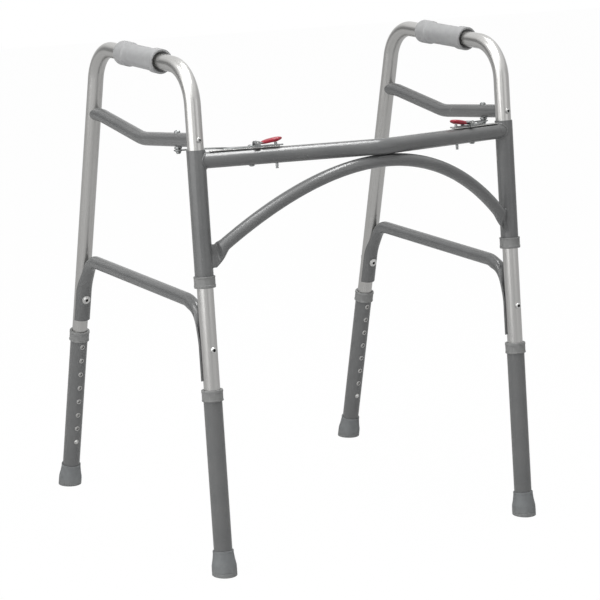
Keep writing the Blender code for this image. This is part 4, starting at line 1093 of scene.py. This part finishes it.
def makeLever(side, sideName):
    # a thick dipped cover that swells towards its end, with a thin lip below it
    t = leverTip
    slope, eye = tan(t["rise"]), t["eye"]
    matrix = barFrame(side) @ Matrix.Translation((lock["pivotAt"], 0, pivotHeight))
    cover, lip = [], []
    for u in ((1 - cos(turn)) / 2 for turn in spaced(0, pi, 28)):
        ends = sqrt(max(0.0, 1 - abs(2 * u - 1) ** 4.0))
        x = t["start"] + (t["end"] - t["start"]) * u
        lift = slope * (x - eye) + t["sweep"] * u * u
        swell = 0.50 + 0.50 * sin(pi / 2 * min(1, u * 1.6))
        top, low = t["above"] * swell, -t["below"] * (1.2 - 0.4 * u)
        cover.append((x, lift + (top + low) / 2, t["half"] * (0.70 + 0.30 * swell) * max(ends, 0.03),
                      (top - low) / 2 * max(ends, 0.04)))
        x = t["lip"][0] + (t["lip"][1] - t["lip"][0]) * u
        lift = slope * (x - eye) - t["lipDrop"] * min(1, 0.45 + 1.1 * u)
        lip.append((x, lift, t["lipHalf"] * max(ends, 0.05), t["lipThick"] / 2 * max(ends, 0.1)))
    body = sideName + "_lever"
    parts = (("cover", cover, 0.74, [sideName + "_lever_tip"]), ("lip", lip, 0.6, []))
    for part, stations, power, stands in parts:
        finishMesh(f"{sideName}_red_{part}", skinRings(softRings(matrix, stations, power), capped=True),
                   redVinyl, body, stands, sharp=70)
    # the strip inside the cover, rolled round its pivot
    half, end, neck = t["strip"] / 2, t["start"] + t["stripIn"], 0.26
    roll = [(eye * cos(turn), eye * sin(turn)) for turn in spaced(neck, 2 * pi - neck, 20)]
    lift = slope * (end - eye)
    outlines = [[(end, lift + half)] + roll + [(end, lift - half)], circle(lock["axleHole"], 16)]
    flatPlate(sideName + "_lever_strip", outlines, 2 * t["stripHalf"], linkSteel, body,
              [sideName + "_release_lever"], matrix @ Matrix.Rotation(pi / 2, 4, "X"), 0.0003)


def makeBracket(side, sideName):
    # a narrow bright strip along the crossbar, with two ears that carry the lever
    b = bracket
    thick = lock["bracketThickness"]
    wide, ears, at = b["half"], b["earOut"] + thick / 2, lock["pivotAt"]
    near, far = at - b["earHalf"], at + b["earHalf"]
    rearHalf = [(b["end"], wide, 0.006), (far, wide, 0), (far, ears, 0.0003), (near, ears, 0.0003),
                (near, wide, 0), (b["start"], wide, 0.002)]
    corners = [(x, -y, fillet) for x, y, fillet in rearHalf[::-1]] + rearHalf
    outlines = [roundCorners(corners, closed=True), circle(lock["rivetHole"], 20, lock["rivetAt"]),
                circle(lock["pinHole"], 20, lock["pinAt"])]
    flatPlate(sideName + "_bracket_strip", outlines, thick, brightSteel, "front_frame",
              [sideName + "_lock_bracket"],
              barFrame(side) @ Matrix.Translation((0, 0, bracketLow + thick / 2)), 0.0002)
    foot = bracketLow + thick / 2 - pivotHeight
    ear = [(-b["earHalf"], foot, 0), (b["earHalf"], foot, 0), (b["earHalf"], b["earTop"], 0.0038),
           (-b["earHalf"], b["earTop"], 0.0038)]
    outlines = [roundCorners(ear, closed=True), circle(lock["axleHole"], 16)]
    # the ears take the darker link steel rather than the strip's bright steel: painted shade, where they sit
    # under the lever
    for label, way in (("front", -1), ("rear", 1)):
        earPlace = barFrame(side) @ Matrix.Translation((at, way * b["earOut"], pivotHeight))
        flatPlate(f"{sideName}_{label}_ear", outlines, thick, linkSteel, "front_frame", [],
                  earPlace @ Matrix.Rotation(pi / 2, 4, "X"), 0.0002)


def upright(name, corners, body, node, origin):
    # a steel piece turned about a line up the front legs
    turned(name, corners, linkSteel, body, [node], frameFrom(origin, across, frontUp), 32)


def makeRivetAndAxle(side, sideName):
    k = lock
    base = barFrame(side)
    head, shank = k["rivetHead"], k["rivetShank"]

    def domed(seat, rise):
        return [(0, seat + rise, 0), (head * 0.5, seat + rise, 0.001), (head, seat + rise * 0.3, 0.001),
                (head, seat, 0.0002), (shank, seat, 0)]
    rivet = domed(linkTop + layout["gap"], k["rivetRise"]) + domed(-bracketLow, -k["rivetRise"])[::-1]
    upright(sideName + "_rivet", rivet, "front_frame", sideName + "_lock_rivet",
            base @ Vector((k["rivetAt"], 0, 0)))
    reach, thin = bracket["earOut"] + 0.0014, k["axle"]
    axle = [(0, reach, 0), (thin, reach, 0.0004), (thin, -reach, 0.0004), (0, -reach, 0)]
    turned(sideName + "_lever_axle", axle, brightSteel, "front_frame", [sideName + "_lever_pivot"],
           pointAlong(base @ Vector((k["pivotAt"], 0, pivotHeight)), base.col[1].to_3d()), 24)


def makePin(side, sideName):
    k, t = lock, leverTip
    top = pivotHeight + tan(t["rise"]) * (k["pinAt"] - k["pivotAt"] - t["eye"]) - t["lipDrop"] - 0.0012
    low = -crossbar["radius"] - k["pinShows"]
    r, neck = k["pinRadius"], k["pinRadius"] * 0.82
    pin = [(0, top, 0), (r, top - 0.0002, 0.0008), (r, low + 0.0032, 0), (neck, low + 0.0028, 0.0003),
           (neck, low + 0.0016, 0.0003), (r, low + 0.0012, 0.0003), (r, low, 0.0009), (0, low, 0)]
    upright(sideName + "_spring_pin", pin, sideName + "_pin", sideName + "_lock_pin",
            barFrame(side) @ Vector((k["pinAt"], 0, 0)))


def makeLinkBolt(side, sideName):
    # bolt through the upper brace, its spacer and the nut under the link
    axis = (upperBrace["frontHeight"] - layout["barHeight"]) / cos(layout["frontLean"])
    top = axis + upperBrace["radius"] + layout["gap"]
    low = axis - upperBrace["radius"] - layout["gap"]
    spacer, nut = linkTop + layout["gap"], linkLow - layout["gap"]
    h, s = bolt["head"], bolt["shank"]
    corners = [(0, top + 0.0032, 0), (h * 0.6, top + 0.0031, 0.001), (h, top + 0.0016, 0.001),
               (h, top - 0.0012, 0), (s, top - 0.0012, 0), (s, low, 0), (s * 2, low, 0.0004),
               (s * 2, spacer + 0.0012, 0.0003), (s * 1.5, spacer + 0.0009, 0.0003),
               (s * 1.5, spacer, 0.0003), (s, spacer, 0), (s, nut, 0),
               (0.0050, nut, 0.0003), (0.0050, nut - 0.0007, 0.0003),
               (0.0040, nut - 0.0008, 0), (0.0040, nut - 0.0030, 0.0004), (s, nut - 0.0030, 0),
               (s, nut - 0.0042, 0.0005), (0, nut - 0.0042, 0)]
    upright(sideName + "_brace_bolt", corners, sideName + "_side", sideName + "_link_bolt",
            frontPlane(side * layout["halfSpread"], lock["boltRadius"], 0))


for side, sideName in sides:
    makeLink(side, sideName)
    makeLever(side, sideName)
    makeBracket(side, sideName)
    makeRivetAndAxle(side, sideName)
    makePin(side, sideName)
    makeLinkBolt(side, sideName)
print("corner locks made")


camera = {"place": (-1.98093, -3.28686, 1.23807), "look": (0.50564, 0.83256, -0.22622),
          "up": (0.11743, 0.19335, 0.97408), "lens": 141.38, "sensor": 36, "farEnd": 60}
studio = {"floor": 6.0, "worldLight": 0.22, "floorGlow": 0.985, "floorMirror": 0.62,
          "behindCamera": 0.55, "sides": 0.20, "right": 0.60, "ceiling": 0.95}
lamps = {    # place, target, size and power
    "topLight": ((0.2, -0.37, 2.95), (0, -0.25, 0.5), (2.0, 0.55), 56),
    "keyLight": ((-1.55, -0.75, 2.4), (-0.2, 0, 0.7), (3.2, 2.2), 22),
    "stripLight": ((-1.45, -0.45, 2.6), (-0.15, -0.25, 0.5), (1.7, 0.45), 17),
    "leftLight": ((-2.6, -0.45, 1.05), (-0.2, -0.1, 0.65), (3.0, 1.6), 30),
    "frontLight": ((-1.7, -3.3, 1.15), (-0.1, -0.1, 0.7), (1.0, 1.0), 3),
    "rightLight": ((1.1, -3.2, 1.2), (0, 0, 0.6), (2.0, 1.4), 5),
}


def seenRays(n):
    # 1 for the rays of the camera, reflections and clear materials
    rays = n.add("LightPath").outputs
    seen = n.math("MAXIMUM", rays["Is Camera Ray"], rays["Is Glossy Ray"])
    return n.math("MAXIMUM", seen, rays["Is Transmission Ray"])


def seenOr(n, plain, mirrored):
    # plain for the camera, mirrored for reflections
    return n.spread(n.add("LightPath").outputs["Is Glossy Ray"], 0.0, 1.0, plain, mirrored)


def makeFloor():
    material, n, shader = newMaterial("paleFloor")
    colour = n.mix(n.noise(n.where(), 40.0, 3.0), (0.80, 0.80, 0.80, 1), (0.84, 0.84, 0.84, 1))
    n.feed(shader, **{"Base Color": colour, "Roughness": 0.9, "Specular IOR Level": 0.0})
    glow = n.feed(n.add("Emission"), Strength=seenOr(n, 1.0, studio["floorMirror"]))
    share = n.math("MULTIPLY", seenRays(n), studio["floorGlow"])
    blend = n.feed(n.add("MixShader"), i0=share, i1=shader.outputs[0], i2=glow[0])
    n.join(blend[0], material.node_tree.nodes["Material Output"].inputs[0])
    bm = bmesh.new()
    bmesh.ops.create_grid(bm, x_segments=1, y_segments=1, size=studio["floor"])
    floor = addObject("floor", meshFrom("floor", bm))
    floor.data.materials.append(material)


def makeWorld():
    # white behind the object; reflections find a dimmer room, with a pale ceiling and right side
    s = studio
    look = Vector(camera["look"]).normalized()
    world = bpy.data.worlds.new("studio")
    bpy.context.scene.world = world
    world.use_nodes = True
    n = Nodes(world.node_tree)
    ray = n.where("Generated")
    up = Vector((0, 0, 1))
    facing, beside, above = n.dot(ray, look), n.dot(ray, look.cross(up).normalized()), n.dot(ray, up)
    room = n.math("MAXIMUM", n.spread(facing, -0.95, -0.35, s["behindCamera"], 0.0),
                  n.spread(beside, 0.30, 0.75, s["sides"], s["right"]))
    room = n.math("MAXIMUM", room, n.spread(above, 0.1, 0.5, 0.0, s["ceiling"]))
    backdrop = n.spread(facing, 0.50, 0.95)
    reflected = n.math("ADD", room, n.math("MULTIPLY", backdrop, n.math("SUBTRACT", 1.0, room)))
    strength = n.spread(seenRays(n), 0.0, 1.0, s["worldLight"], seenOr(n, 1.0, reflected))
    n.feed(world.node_tree.nodes["Background"], Color=(1, 1, 1, 1), Strength=strength)


def makeLamps():
    for name, (place, target, size, power) in lamps.items():
        data = bpy.data.lights.new(name, "AREA")
        data.shape = "RECTANGLE"
        data.size, data.size_y = size
        data.energy = power
        lamp = addObject(name, data)
        lamp.location = place
        lamp.rotation_euler = (Vector(target) - Vector(place)).to_track_quat("-Z", "Y").to_euler()


def makeCamera():
    data = bpy.data.cameras.new("camera")
    data.lens, data.sensor_width, data.clip_end = camera["lens"], camera["sensor"], camera["farEnd"]
    eye = addObject("camera", data)
    look = Vector(camera["look"]).normalized()
    right = look.cross(Vector(camera["up"])).normalized()
    matrix = Matrix((right, right.cross(look), -look)).transposed().to_4x4()
    matrix.translation = Vector(camera["place"])
    eye.matrix_world = matrix
    bpy.context.scene.camera = eye


makeFloor()
makeWorld()
makeLamps()
makeCamera()
bpy.context.scene.view_settings.view_transform = "Standard"
print("studio made")
